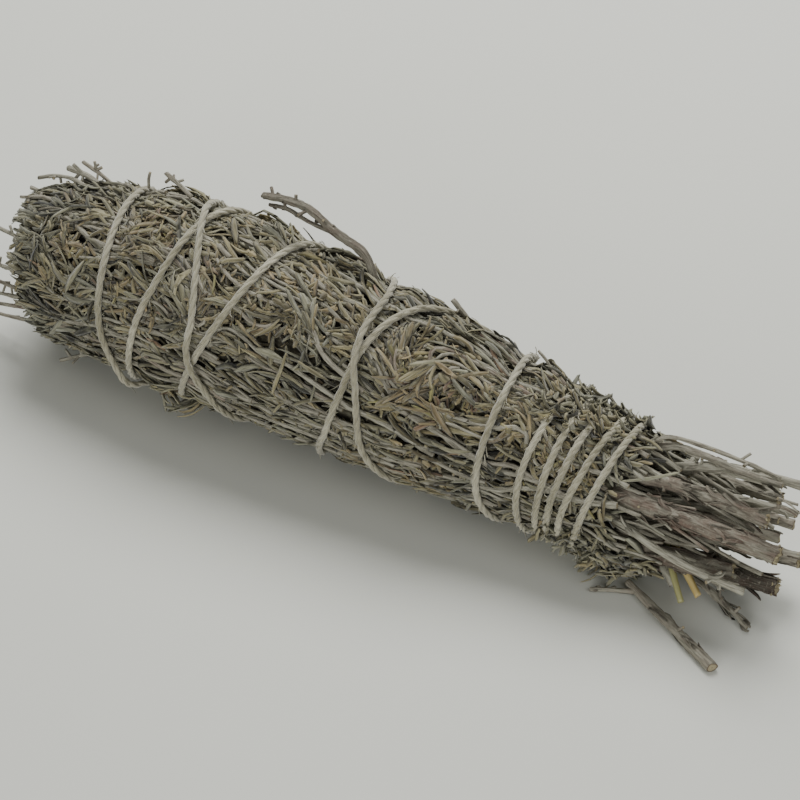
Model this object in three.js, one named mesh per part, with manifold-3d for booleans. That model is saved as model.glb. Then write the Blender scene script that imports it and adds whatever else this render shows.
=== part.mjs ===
// Sage smudge stick: seventeen dried sage sprigs laid side by side and bound with one cotton string.
// Millimetres, +Z up. The bundle lies along X, leafy tips towards -X and cut stems towards +X, and
// rests on Z = 0. Angles run round the bundle in degrees: 0 top, 90 front (-Y), 180 bottom, 270 back.
import * as THREE from 'three';
import Module from 'manifold-3d';
import { mergeVertices } from 'three/addons/utils/BufferGeometryUtils.js';

const wasm = await Module();
wasm.setup();

// Driving dimensions

// Radius over the leaves at stations along the bundle, as [x, radius].
const leafEnvelope = [
  [-109, 17.2], [-102, 19.8], [-93, 22.3], [-84, 23.6], [-75, 24.3], [-50, 26.0], [-25, 25.2],
  [0, 24.2], [25, 22.2], [50, 19.6], [65, 18.2], [80, 16.9], [96, 16.2],
];
const leafStandOff = 2.8;      // from the packed foliage out to the leaf tips
const seam = 0.22;             // half of the gap between neighbouring sprigs
const stemGap = 0.3;           // round a stem in its hole

const outerCount = 11;
const innerCount = 5;
const innerShare = 0.56;       // where the inner ring of sprigs ends, as a share of the radius
const centreShare = 0.25;      // where the centre sprig ends
const innerClearance = 1.3;    // between the two rings

const leafLength = 20;
const leafThickness = 1.0;
const leafShare = 0.98;        // a leaf's width as a share of the face that it grows from
const leafStep = 16;           // along, from one leaf to the next in its row
const crownLeafWidth = 3.8;
const budSize = 1.5;

const stringRadius = 0.95;
const stringLift = stringRadius + 0.75;  // string centre above the packed foliage
const stringStep = 20;                   // degrees of winding between two sections
const stringSides = 5;
const stringClearance = 0.55;            // from the string to any leaf

// The string's route by hand: [winding angle, x, extra lift]. It runs from the knot towards the
// leafy end under the bind, turns round there, comes back over itself and ends as the bind.
const crossing = 2.35;
const stringRoute = [
  [-112, 73.5, 0.4], [-104, 68, 0], [-92, 56, 0], [-70, 40, 0], [-52, 29, 0], [-38, 20.5, 0],
  [-27, 17, 0], [-11, 14, 0], [12, 11, 0], [40, 8.8, 0], [65, 7.6, 0], [96, 4.5, 0],
  [111, 2, 0], [180, -6.5, 0], [250, -15.5, 0], [317, -21.5, 0], [343, -22.5, 0],
  [378, -24, 0], [403, -26.5, 0], [427, -30, 0], [451, -34.5, 0], [487, -40.5, 0],
  [540, -42.5, 0], [610, -44, 0], [680, -45, 0], [725, -46, 0], [761, -47, 0],
  [790, -50, 0], [830, -54.5, 0], [852, -57.5, 0], [900, -64, 0], [960, -71, 0],
  [1005, -74.5, 0], [1044, -73.5, 0], [1070, -70.5, 0], [1100, -67, 0], [1127, -64.2, 0],
  [1165, -62, 0], [1192, -60, 0.5], [1210, -58, crossing], [1226, -56.8, 0.7], [1262, -55.5, 0],
  [1320, -55, 0], [1390, -53.3, 0], [1415, -50.5, 0.4], [1433, -46.8, crossing],
  [1441, -45, crossing], [1460, -41, 0.4], [1479, -37.3, 0], [1500, -34.5, 0.5],
  [1512, -33.5, crossing], [1522, -32.6, crossing], [1542, -30.2, 0.3], [1560, -28.5, 0],
  [1620, -23.5, 0], [1668, -18.5, 0.4], [1686, -16, crossing], [1704, -12.5, 0.5],
  [1745, -3, 0], [1765, 2.2, 0], [1790, 6, 0], [1812, 7.6, 1.2], [1824, 8.1, crossing],
  [1844, 9.6, crossing], [1858, 11.6, 1.0], [1878, 13, 0], [1900, 14.5, 0], [1920, 17, 0],
  [1980, 24, 0], [2050, 32, 0], [2078, 36, 0.8], [2091, 38, crossing], [2104, 39.5, 0.8],
  [2130, 41.2, 0], [2165, 43.3, 0], [2205, 44, 0], [2255, 44.2, 0], [2285, 46, 0],
  [2345, 49.5, 0], [2405, 52.3, 0.6], [2425, 53.2, crossing], [2444, 54, 0.6],
  [2500, 55.8, 0], [2545, 55.2, 0], [2590, 54.3, 0], [2640, 54.8, 0], [2710, 57, 0],
  [2764, 58.6, 0.6], [2783, 59.2, crossing], [2802, 59.8, 0.6], [2860, 60.3, 0],
  [2910, 60.2, 0], [2955, 59.6, 0], [3010, 58.9, 0], [3070, 60.2, 0], [3122, 62.4, 0.6],
  [3141, 63.1, crossing], [3160, 63.7, 0.6], [3225, 64.6, 0], [3280, 63.8, 0],
  [3330, 62.2, 0], [3370, 61.8, 0], [3430, 63.4, 0], [3481, 66.0, 0.6], [3500, 67.0, crossing],
  [3519, 67.8, 0.6], [3585, 69.2, 0], [3640, 67.9, 0], [3690, 65.2, 0], [3730, 64.6, 0],
  [3790, 66.3, 0], [3839, 69.3, 0.6], [3857, 70.3, crossing], [3876, 71.2, 0.6], [3945, 73.2, 0],
  [3990, 72.7, 0], [4035, 70.5, 0], [4075, 68.3, 0], [4120, 67.8, 0], [4165, 69.5, 0.4],
  [4200, 72.2, 1.2], [4222, 74.6, 0.6],
];
const knotAngle = 248;
const knotX = 72.8;

// Stems by sprig: radius at the cut end, where the cut end is, and how far the free length bows
// out sideways and upwards. Outer sprigs go round from the bottom, over the back, top and front.
const outerStems = [
  { radius: 2.15, end: [113.8, -1.5, 8.6], bow: [0, -0.5] },
  { radius: 1.7, end: [115.5, 8.0, 10.0], bow: [0.5, -1] },
  { radius: 1.3, end: [111, 13.0, 15.0], bow: [1, 0] },
  { radius: 1.5, end: [107, 13.0, 21.5], bow: [1, 0] },
  { radius: 1.1, end: [116.5, 11.0, 29.5], bow: [1, 1] },
  { radius: 1.15, end: [108.5, 5.0, 32.5], bow: [0, 1.5] },
  { radius: 1.5, end: [109, -2.0, 26.8], bow: [0, 1.2] },
  { radius: 2.2, end: [114, -6.2, 22.6], bow: [-0.6, 0.8] },
  { radius: 0.95, end: [109, -10.6, 12.5], bow: [-2.6, 1.0] },
  { radius: 2.5, end: [104.5, -6.8, 12.4], bow: [-0.4, 0] },
  { radius: 1.2, end: [91.5, -8.3, 3.6], bow: [0, 0.2] },
];
const innerStems = [
  { radius: 1.0, end: [111.5, 2.8, 13.8], bow: [0, 0] },
  { radius: 1.1, end: [108.5, 8.6, 18.6], bow: [0.3, 0] },
  { radius: 1.0, end: [113, 6.5, 24.6], bow: [0.3, 0.4] },
  { radius: 0.95, end: [105.5, 0.4, 24.4], bow: [0, 0.4] },
  { radius: 1.05, end: [107.5, -1.5, 17.2], bow: [-0.2, 0] },
];
const centreStem = { radius: 1.25, end: [111, 3.2, 18.8], bow: [0, 0] };
const stemRoot = 40;           // how far back the stems reach into the foliage
const stemSlim = 0.86;         // radius there as a share of the cut end's
const stemSides = 6;

// Bare twigs and straws caught in the bundle, by hand: points along each, and the radius there.
const forkedTwig = {
  points: [[2, 5.6, 40.5], [0.2, 7, 45.5], [-1.6, 8.1, 49.6], [-4.2, 8.7, 52.4], [-9, 9.4, 53.4],
    [-13.5, 10, 54.4], [-17.5, 10.5, 56.1], [-21.5, 11, 57.3], [-28, 11.5, 57.2], [-35.6, 12, 55.8]],
  radii: [1.05, 1.05, 1.1, 1.1, 1.15, 1.1, 1.1, 1.0, 0.95, 0.75],
};
const forkBranch = {
  points: [
    [-12, 9.8, 53.8], [-16.5, 9.9, 53.9], [-21.5, 10.3, 54.2], [-27.5, 11, 55.0], [-33.5, 11.6, 53.9],
  ],
  radii: [0.6, 0.6, 0.55, 0.5, 0.4],
};
const forkedTwigSprig = 5;
const looseTwig = {
  points: [[81.2, -11.1, 1.3], [84.6, -12.8, 1.2], [89.7, -15.4, 1.2], [95.6, -18.4, 1.25],
    [102.5, -22, 1.3], [109.3, -25.4, 1.35]],
  radii: [0.9, 1.05, 1.1, 1.2, 1.25, 1.3],
};
const looseBranch = {
  points: [[84.5, -12.7, 1.0], [80.4, -14.3, 0.8], [74.4, -17.3, 0.75]],
  radii: [0.65, 0.6, 0.45],
};
const thinTwig = {
  points: [[85.8, -2.6, 3.2], [92, -3.1, 2.9], [98, -4.2, 2.4], [104.5, -6.6, 1.6], [111, -9.6, 1.0]],
  radii: [0.7, 0.7, 0.75, 0.65, 0.6],
};
const greenStraw = {
  points: [[86.4, -3.0, 10.7], [90.8, -7.8, 6.6], [95.3, -12.2, 3.0]],
  radii: [0.75, 0.75, 0.75],
};
const yellowStraw = {
  points: [[87.2, -1.0, 10.0], [92.6, -5.6, 7.3], [98.3, -9.5, 4.3]],
  radii: [0.85, 0.85, 0.9],
};

// Bare twigs that grow out of a sprig, by sprig: points along each. Most of them stand out of the
// leafy end; one runs over the bind and along the stems.
const outerTwigs = {
  5: [
    [[-74, 7.5, 41], [-84, 9.2, 45.5], [-92, 10, 47.6]],
    [[-76, 5.5, 41], [-87, 7, 45.8], [-95.6, 8, 45.6]],
    [[-78, 3.5, 41], [-90, 5, 44.9], [-98, 6, 43.4], [-104.6, 6, 40.6]],
    [[-88, 4, 37.6], [-97.7, 4.3, 37.4], [-107.5, 5.2, 36.9]],
    [[76.8, 4, 29.5], [80.5, 4.6, 34.4], [89, 5, 35.4], [99.7, 5, 35.3], [108.4, 5, 34.4]],
  ],
  6: [[[-82, -3.3, 39.5], [-92.8, -3.1, 43], [-103.5, -2.9, 39.9]]],
  8: [
    [[-84, -16, 27], [-96.8, -14.2, 25], [-109.8, -9.3, 19.7], [-116.4, -7.2, 17.4]],
    [[-78, -17.5, 24.4], [-87.8, -18, 23], [-107.2, -12.7, 17.4], [-116.4, -10.3, 15]],
  ],
  9: [
    [[-80, -16.5, 20.4], [-89.3, -16.8, 19.9], [-105.7, -14.9, 15.4], [-116.4, -13.4, 12.6]],
    [[-76, -15, 17], [-85.7, -14.9, 16.4], [-107, -14.3, 10.9], [-116.4, -13.8, 8.6]],
  ],
  10: [
    [[-76, -12.6, 11.5], [-85, -13.4, 10.6], [-99.5, -13.4, 7.9], [-108.5, -12.6, 5.6],
      [-116.4, -11.4, 4]],
    [[-64, -11.5, 10], [-72.6, -13.8, 8], [-83.8, -17.4, 2.9]],
  ],
};
const innerTwigs = {
  3: [[[-84, -4.5, 28.6], [-98, -4.2, 26.6], [-107, -3.2, 26.1], [-116.4, -3.7, 27.6]]],
};
const twigRadius = { root: 0.75, tip: 0.55, sides: 4 };

// Single leaves placed by hand, by sprig: the sunk root, the widest place and the tip of each, as
// [x, angle, radius]. Those of sprigs 4 and 5 fill out the top, those of sprig 9 the lower front, and
// those of sprig 10 hang to the surface past the bind. Angles run on past 360 after sprig 5.
const handLeaves = {
  4: [
    [[-72, 316, 21], [-80, 317, 23.0], [-93, 318, 23.6]],
    [[-56.5, 312, 22.8], [-62, 313, 25.2], [-70, 314, 25.2]],
    [[-24.5, 312, 21.8], [-31, 313, 25.2], [-40.5, 314, 25.9]],
    [[-6, 318, 21.2], [-12.5, 318, 24.4], [-18, 318, 24.6]],
    [[14, 314, 19.8], [9, 315, 23], [5.4, 316, 24.2]],
  ],
  5: [
    [[-72, 335, 21], [-80, 336, 24.4], [-94, 337, 25]],
    [[-76, 348, 20.4], [-84, 348, 23.4], [-97, 349, 23.2]],
  ],
  9: [
    [[-46.5, 486, 22.4], [-44, 486.5, 26.4], [-38, 487, 28.8]],
    [[-36, 486, 22.2], [-38.2, 486.5, 26.3], [-44.5, 487, 28.6]],
  ],
  10: [
    [[71.8, 502, 13.4], [71.2, 500.5, 18], [70, 498, 21.9]],
    [[74.5, 495, 13.4], [72, 496.5, 18.2], [67, 497, 21]],
    [[73, 499, 13.4], [75, 499, 17.5], [77.5, 499, 21.4]],
    [[77, 506, 13.2], [79.5, 507, 16.4], [83, 510, 18.0]],
    [[80.5, 498, 13.2], [78.2, 500, 16.8], [73.5, 502, 20.2]],
  ],
};

// Flat resting pads under the bottom sprig, as [start, end] along X.
const restPads = [[-83, -69.5], [-37, -29], [3, 18.5], [30.5, 41]];
const padRamp = 3;
const padDepth = 0.3;          // trimmed off the pads by the surface that they rest on

const finestDetail = 0.012;    // corners closer than this are drawn together

// Small helpers

function seededRandom(seed) {
  let state = seed >>> 0;
  return () => {
    state = (state + 0x6d2b79f5) >>> 0;
    let t = state;
    t = Math.imul(t ^ (t >>> 15), t | 1);
    t ^= t + Math.imul(t ^ (t >>> 7), t | 61);
    return ((t ^ (t >>> 14)) >>> 0) / 4294967296;
  };
}

// A smooth curve through rows of [position, value, value, ...].
function smoothTable(rows) {
  const slope = (i, c) => {
    const a = rows[Math.max(i - 1, 0)];
    const b = rows[Math.min(i + 1, rows.length - 1)];
    return (b[c] - a[c]) / (b[0] - a[0]);
  };
  return (position, column = 1) => {
    let i = 0;
    while (i < rows.length - 2 && rows[i + 1][0] < position) i += 1;
    const span = rows[i + 1][0] - rows[i][0];
    const t = THREE.MathUtils.clamp((position - rows[i][0]) / span, 0, 1);
    const [t2, t3] = [t * t, t * t * t];
    return (2 * t3 - 3 * t2 + 1) * rows[i][column]
      + (t3 - 2 * t2 + t) * span * slope(i, column)
      + (3 * t2 - 2 * t3) * rows[i + 1][column]
      + (t3 - t2) * span * slope(i + 1, column);
  };
}

const radians = THREE.MathUtils.degToRad;
const envelope = smoothTable(leafEnvelope);
const foliageRadius = (x) => envelope(x) - leafStandOff;

// A point of the bundle: the axis stands as high as the bundle is thick, so it lies flat.
function place(x, angle, radius) {
  const a = radians(angle);
  return new THREE.Vector3(x, -radius * Math.sin(a), envelope(x) + radius * Math.cos(a));
}

// A closed body through sections of equally many points; a section of one point is a tip.
function loft(sections) {
  const sides = Math.max(...sections.map((section) => section.length));
  const last = sections.length - 1;
  const tipAt = (section) => (section.length === 1 ? 0 : 1);
  const shape = new THREE.CylinderGeometry(
    tipAt(sections[0]), tipAt(sections[last]), 1, sides, last);
  const position = shape.attributes.position;
  for (let i = 0; i < position.count; i += 1) {
    const [x, y, z] = [position.getX(i), position.getY(i), position.getZ(i)];
    const section = sections[Math.round((0.5 - y) * last)];
    const target = new THREE.Vector3();
    if (section.length === 1 || Math.hypot(x, z) < 1e-6) {
      section.forEach((corner) => target.addScaledVector(corner, 1 / section.length));
    } else {
      const turn = Math.atan2(x, z) / (2 * Math.PI);
      target.copy(section[(Math.round(turn * sides) + sides) % sides]);
    }
    position.setXYZ(i, target.x, target.y, target.z);
  }
  return shape;
}

// A closed body from a tip through one ring of corners to a root point.
function spindle(tip, ring, root) {
  const shape = new THREE.SphereGeometry(1, ring.length, 2);
  const position = shape.attributes.position;
  for (let i = 0; i < position.count; i += 1) {
    const y = position.getY(i);
    const turn = Math.atan2(position.getZ(i), -position.getX(i)) / (2 * Math.PI);
    const corner = ring[(Math.round(turn * ring.length) + ring.length) % ring.length];
    const target = y > 0.5 ? tip : y < -0.5 ? root : corner;
    position.setXYZ(i, target.x, target.y, target.z);
  }
  return shape;
}

// A closed geometry as a solid, turned outside out where its sections run the other way.
function solid(shape) {
  shape.deleteAttribute('normal');
  shape.deleteAttribute('uv');
  const merged = mergeVertices(shape, 1e-4);
  const corners = merged.attributes.position.array;
  const faces = Uint32Array.from(merged.index.array);
  let volume = 0;
  for (let f = 0; f < faces.length; f += 3) {
    const [a, b, c] = [0, 1, 2].map((k) => new THREE.Vector3().fromArray(corners, 3 * faces[f + k]));
    volume += a.dot(b.cross(c));
  }
  if (volume < 0) faces.reverse();
  return new wasm.Manifold(new wasm.Mesh({
    numProp: 3, vertProperties: Float32Array.from(corners), triVerts: faces,
  }));
}

// A round rod along points, with a radius at each and its sections square to the rod.
function rod(points, radii, sides) {
  return loft(points.map((point, i) => {
    const before = points[Math.max(i - 1, 0)];
    const after = points[Math.min(i + 1, points.length - 1)];
    const along = after.clone().sub(before).normalize();
    const side = new THREE.Vector3(0, 0, 1).cross(along).normalize();
    const up = along.clone().cross(side);
    return Array.from({ length: sides }, (_, k) => {
      const a = (2 * Math.PI * k) / sides;
      return point.clone().addScaledVector(side, radii[i] * Math.cos(a))
        .addScaledVector(up, radii[i] * Math.sin(a));
    });
  }));
}

function meshOf(name, body, color, roughness = 0.9) {
  const largest = body.decompose().sort((a, b) => b.volume() - a.volume())[0];
  const { vertProperties, triVerts } = largest.simplify(finestDetail).getMesh();
  const geometry = new THREE.BufferGeometry();
  geometry.setAttribute('position', new THREE.BufferAttribute(vertProperties, 3));
  geometry.setIndex(new THREE.BufferAttribute(triVerts, 1));
  geometry.computeVertexNormals();
  const material = new THREE.MeshStandardMaterial({ color, roughness, metalness: 0 });
  const mesh = new THREE.Mesh(geometry, material);
  mesh.name = name;
  return mesh;
}

// Everything under the surface that the bundle rests on
const floorBlock = solid(new THREE.BoxGeometry(400, 200, 40).translate(0, 0, -20));

// The string

const routeAt = smoothTable(stringRoute);
function stringPath(step) {
  const points = [];
  for (let a = stringRoute[0][0]; a <= stringRoute.at(-1)[0]; a += step) {
    const x = routeAt(a, 1);
    points.push(place(x, a, foliageRadius(x) + stringLift + Math.max(routeAt(a, 2), 0)));
  }
  return points;
}

// What leaves and buds keep clear of: the string, the forked twig and the loose twig.
const twigVectors = (twig) => twig.points.map((point) => new THREE.Vector3(...point));
const alongTwig = (twig) => new THREE.CatmullRomCurve3(twigVectors(twig)).getPoints(40);
const obstacles = [...stringPath(3), ...alongTwig(forkedTwig), ...alongTwig(looseTwig)];

function nearestObstacle(point) {
  return Math.min(...obstacles.map((p) => p.distanceTo(point)));
}

function stringBody() {
  const path = new THREE.CatmullRomCurve3(stringPath(stringStep / 2));
  path.arcLengthDivisions = 4000;
  const section = new THREE.Shape(Array.from({ length: stringSides }, (_, k) => {
    const a = (2 * Math.PI * k) / stringSides;
    return new THREE.Vector2(stringRadius * Math.cos(a), stringRadius * Math.sin(a));
  }));
  const steps = Math.round((stringRoute.at(-1)[0] - stringRoute[0][0]) / stringStep);
  let body = solid(new THREE.ExtrudeGeometry(section, { steps, extrudePath: path }));
  const knotCentre = place(knotX, knotAngle, foliageRadius(knotX) + stringLift + 0.9);
  const knot = new THREE.TorusKnotGeometry(1.5, 0.85, 22, 4, 2, 3);
  const heart = new THREE.IcosahedronGeometry(1.9, 0);
  const outward = place(knotX, knotAngle, 1).sub(place(knotX, knotAngle, 0));
  const turn = new THREE.Quaternion().setFromUnitVectors(new THREE.Vector3(0, 0, 1), outward);
  for (const lump of [knot, heart]) {
    lump.applyQuaternion(turn);
    lump.translate(knotCentre.x, knotCentre.y, knotCentre.z);
    body = body.add(solid(lump));
  }
  return body;
}

// Sprigs: a packed foliage body with its leaves, bud heads and bare twigs standing out of it

const pitch = 360 / outerCount;

function seamAngle(count, i, x) {
  const wave = 1.5 * Math.sin(x / 31 + 2.4 * (i % count));
  return 180 + (i - 0.5) * (360 / count) + wave;
}

// The angle a share u across sprig i of a ring, kept clear of both seams by a margin in mm.
function across(count, i, u, x, radius, margin) {
  const edge = THREE.MathUtils.radToDeg(margin / radius);
  const from = seamAngle(count, i, x) + edge;
  const to = seamAngle(count, i + 1, x) - edge;
  return THREE.MathUtils.lerp(from, to, u);
}

function padSwell(x) {
  const under = restPads.some(([from, to]) => x >= from - padRamp && x <= to + padRamp);
  return under ? leafStandOff + padDepth : 0;
}

function outerSection(i, x, swell, share) {
  const outer = foliageRadius(x);
  const corners = [
    [0, outer * innerShare], [0, outer * 0.97], [0.33, outer + swell],
    [0.67, outer + swell], [1, outer * 0.97], [1, outer * innerShare],
  ];
  return shrink(corners.map(([u, r]) => place(x, across(outerCount, i, u, x, r, seam), r)), share);
}

function innerSection(i, x, share) {
  const outer = foliageRadius(x) * innerShare - innerClearance;
  const inner = foliageRadius(x) * centreShare;
  const corners = [[0, inner], [0, outer], [0.5, outer], [1, outer], [1, inner], [0.5, inner]];
  return shrink(corners.map(([u, r]) => place(x, across(innerCount, i, u, x, r, seam), r)), share);
}

function centreSection(x, share) {
  const radius = foliageRadius(x) * centreShare * 0.95 - 2 * seam;
  const angles = Array.from({ length: innerCount }, (_, k) => 36 + (k * 360) / innerCount);
  return shrink(angles.map((a) => place(x, a, radius)), share);
}

function shrink(section, share) {
  const middle = new THREE.Vector3();
  section.forEach((corner) => middle.addScaledVector(corner, 1 / section.length));
  return section.map((corner) => middle.clone().lerp(corner, share));
}

// A spindle-shaped leaf blade in bundle coordinates. Its three points are [x, angle, radius]: the
// sunk root, the widest place and the tip. limit keeps its edges between the sprig's own seams.
function blade(root, widest, tip, width, thickness, limit) {
  const end = ([x, angle, radius]) => place(x, limit(x, angle, radius), radius);
  const [x, angle, radius] = widest;
  const half = THREE.MathUtils.radToDeg(width / 2 / radius);
  const ring = [
    place(x, limit(x, angle - half, radius), radius),
    place(x, limit(x, angle, radius), radius + thickness),
    place(x, limit(x, angle + half, radius), radius),
  ];
  return spindle(end(tip), ring, end(root));
}

// True where a blade's outline stays clear of every obstacle.
function clearOfObstacles(root, widest, tip, width) {
  for (let s = 0; s <= 12; s += 1) {
    const [from, to, t] = s < 6 ? [root, widest, s / 6] : [widest, tip, (s - 6) / 6];
    const at = from.map((value, k) => THREE.MathUtils.lerp(value, to[k], t));
    if (at[2] < foliageRadius(at[0])) continue;
    const half = (width / 2) * (s < 6 ? t : 1 - t);
    const reach = stringRadius + stringClearance + 0.4;
    for (const side of [-1, 1]) {
      const angle = at[1] + THREE.MathUtils.radToDeg((side * half) / at[2]);
      if (nearestObstacle(place(at[0], angle, at[2] + leafThickness / 2)) < reach) return false;
    }
  }
  return true;
}

// Keeps an angle inside sprig i's own wedge.
function wedgeLimit(count, i) {
  return (x, angle, radius) => {
    if (count === 1) return angle;
    const from = across(count, i, 0, x, radius, seam + 0.05);
    const to = across(count, i, 1, x, radius, seam + 0.05);
    return THREE.MathUtils.clamp(angle, from, to);
  };
}

// Leaves over one outer sprig, in a row along each of its three outer faces, each leaf pointing to
// the leafy end. Where the string is in the way a shorter leaf is tried, then a shifted one.
const faceMiddles = [1 / 6, 1 / 2, 5 / 6];
const leafTries = [[1, 0], [0.8, -2.5], [0.66, 3], [0.55, -5], [0.5, 5.5]];

function outerLeaves(i, random) {
  const shapes = [];
  const limit = wedgeLimit(outerCount, i);
  for (const u of faceMiddles) {
    let x = outerFrom(i) - 1 - leafStep * random();
    while (x > outerTo(i) + leafLength / 2) {
      const swing = (random() - 0.5) * 9;
      const lift = 0.3 + 0.4 * random();
      const rise = 0.8 + 0.9 * random();
      const width = (radians(pitch) * foliageRadius(x) * leafShare) / faceMiddles.length;
      for (const [share, shift] of leafTries) {
        const length = leafLength * share;
        const from = x + shift;
        const angle = across(outerCount, i, u, from, foliageRadius(from), seam);
        const at = (d, turn, h) => [from - d, angle + turn, foliageRadius(from - d) + h];
        const root = at(length * 0.1, 0, -1.3);
        const widest = at(length * 0.44, swing * 0.2, lift);
        const tip = at(length, swing, Math.min(lift + rise, 2.4));
        if (!clearOfObstacles(root, widest, tip, width)) continue;
        if (i === 0 && u === 0.5 && padSwell(widest[0]) > 0) break;
        shapes.push(blade(root, widest, tip, width, leafThickness, limit));
        break;
      }
      x -= leafStep * (0.86 + 0.28 * random());
    }
  }
  return shapes;
}

// Leaves that crown the sprig's tip, pointing forward out of its end.
function crownLeaves(count, i, end, low, high, places, random) {
  const limit = wedgeLimit(count, i);
  return places.map(([u, v]) => {
    const share = THREE.MathUtils.lerp(low, high, v);
    const radius = foliageRadius(end) * share;
    const angle = count === 1 ? u * 360 : across(count, i, u, end, radius, seam + 1);
    const length = leafLength * (0.62 + 0.3 * random());
    const spread = (v - 0.35) * 2.6 + (random() - 0.5) * 1.2;
    const at = (d, out, turn) => [
      end + 5 - d, angle + turn, Math.max(foliageRadius(end + 5 - d) * share + out, 1.2)];
    const turn = (random() - 0.5) * 14;
    return blade(at(0, 0, 0), at(length * 0.55, spread * 0.4, 0), at(length, spread, turn),
      crownLeafWidth, leafThickness, limit);
  });
}

// A head of small buds, each sunk into the face of the foliage that it sits on.
function budHead(i, x, face, random) {
  const shapes = [];
  for (let k = 0; k < 3; k += 1) {
    const bx = x + (k - 1) * budSize * 2.1;
    const radius = foliageRadius(bx);
    const u = faceMiddles[face] + (k % 2 ? 0.1 : -0.1);
    const angle = across(outerCount, i, u, bx, radius, seam + budSize);
    const size = budSize * (0.8 + 0.35 * random());
    const centre = place(bx, angle, radius + size * 0.3);
    if (nearestObstacle(centre) < stringRadius + stringClearance + size * 1.1) continue;
    const bud = new THREE.OctahedronGeometry(size, 0);
    bud.rotateX(radians(-angle));
    bud.rotateZ((random() - 0.5) * 0.8);
    bud.translate(centre.x, centre.y, centre.z);
    shapes.push(bud);
  }
  return shapes;
}

// A sprig's bare twigs, slimmer towards their tips.
function bareTwigs(rows) {
  return rows.map((row) => {
    const radii = row.map((_, k) => (
      THREE.MathUtils.lerp(twigRadius.root, twigRadius.tip, k / (row.length - 1))));
    return rod(row.map((point) => new THREE.Vector3(...point)), radii, twigRadius.sides);
  });
}

// Where each sprig's foliage starts at the cut end and stops at the leafy end. The leafy end is
// slanted: the sprigs on top reach furthest.
const outerFrom = (i) => [85, 81.5, 79.5, 80.5, 82, 79.5, 76.5, 76, 75, 82.5, 84.5][i];
const outerTo = (i) => [-88, -91, -94, -97, -99, -99, -96, -91, -86, -85, -86][i];
const innerTo = (i) => [-90, -94, -98, -94, -88][i];
const centreTo = -93;
const innerFrom = 77;

// Stem centre line and radii from the root in the foliage to the cut end.
function stemLine(stem, middle, from) {
  const inside = [stemRoot, 60, from].map((x) => middle(x));
  const start = inside.at(-1);
  const end = new THREE.Vector3(...stem.end);
  const free = [0.36, 0.7].map((t) => {
    const bow = 4 * t * (1 - t);
    const point = start.clone().lerp(end, t);
    return point.add(new THREE.Vector3(0, stem.bow[0] * bow, stem.bow[1] * bow));
  });
  return [...inside, ...free, end];
}

function stemRadii(stem, points, extra) {
  const first = points[0].x;
  const length = points.at(-1).x - first;
  return points.map((p) => {
    const t = (p.x - first) / length;
    return stem.radius * THREE.MathUtils.lerp(stemSlim, 1, t) + extra;
  });
}

function twigRod(twig) {
  return rod(twigVectors(twig), twig.radii, stemSides);
}

// The hole that a twig stands in, a little wider and deeper than the twig.
function twigHole(twig) {
  const points = twigVectors(twig);
  const inward = points[0].clone().sub(points[1]).normalize();
  points[0].addScaledVector(inward, stemGap);
  return solid(rod(points, twig.radii.map((radius) => radius + stemGap * 1.3), stemSides));
}

function stemBody(stem, points) {
  return solid(rod(points, stemRadii(stem, points, 0), stemSides));
}

// The plain hole that a stem stands in, open at the cut end of the foliage.
function stemHole(stem, points) {
  const radii = stemRadii(stem, points, stemGap);
  const deeper = points[0].clone();
  deeper.x -= stemGap;
  return solid(rod([deeper, ...points.slice(1)], radii, stemSides));
}

const foliageColors = [0x8a8c74, 0x7f826b, 0x95937a, 0x868a76, 0x8e8a70, 0x787c68];
const barkColors = [0x6b6153, 0x857c66, 0x7a6a58, 0x5d544a, 0x8f8a74, 0x75685a];

function join(body, shapes) {
  return shapes.reduce((whole, shape) => whole.add(solid(shape)), body);
}

function outerStations(i) {
  const rows = [outerTo(i), -70, -45, -15, 15, 42, 64, outerFrom(i)].map((x) => [x, 0]);
  if (i !== 0) return rows;
  const swell = leafStandOff + padDepth;
  const padRows = restPads.flatMap(([from, to]) => [
    [from - padRamp, 0], [from, swell], [to, swell], [to + padRamp, 0],
  ]);
  const free = rows.filter(([x]) => !restPads.some(([from, to]) => x > from - 9 && x < to + 9));
  return [...free, ...padRows].sort((a, b) => a[0] - b[0]);
}

// Bud heads of the outer sprigs, as [x, face of the sprig]
const budPlaces = {
  0: [[83, 1]], 1: [[-60, 1], [22, 0]], 2: [[-20, 1]], 3: [[-70, 2], [46, 1]], 4: [[8, 1]],
  5: [[-82, 1], [31, 1], [77, 1]], 6: [[-56, 1], [-10, 0]], 7: [[-80, 1], [-14, 2], [29, 1]],
  8: [[-52, 0], [22, 2], [50, 1]], 9: [[-70, 1], [-20, 0], [33, 2], [83, 1]], 10: [[-48, 1], [83, 1]],
};

const group = new THREE.Group();

function addSprig(label, index, foliage, stem, points) {
  const colour = foliageColors[index % foliageColors.length];
  const open = foliage.subtract(stemHole(stem, points)).subtract(floorBlock);
  group.add(meshOf(`foliage_${label}`, open, colour));
  const bark = barkColors[index % barkColors.length];
  group.add(meshOf(`stem_${label}`, stemBody(stem, points).subtract(floorBlock), bark, 0.85));
}

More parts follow.
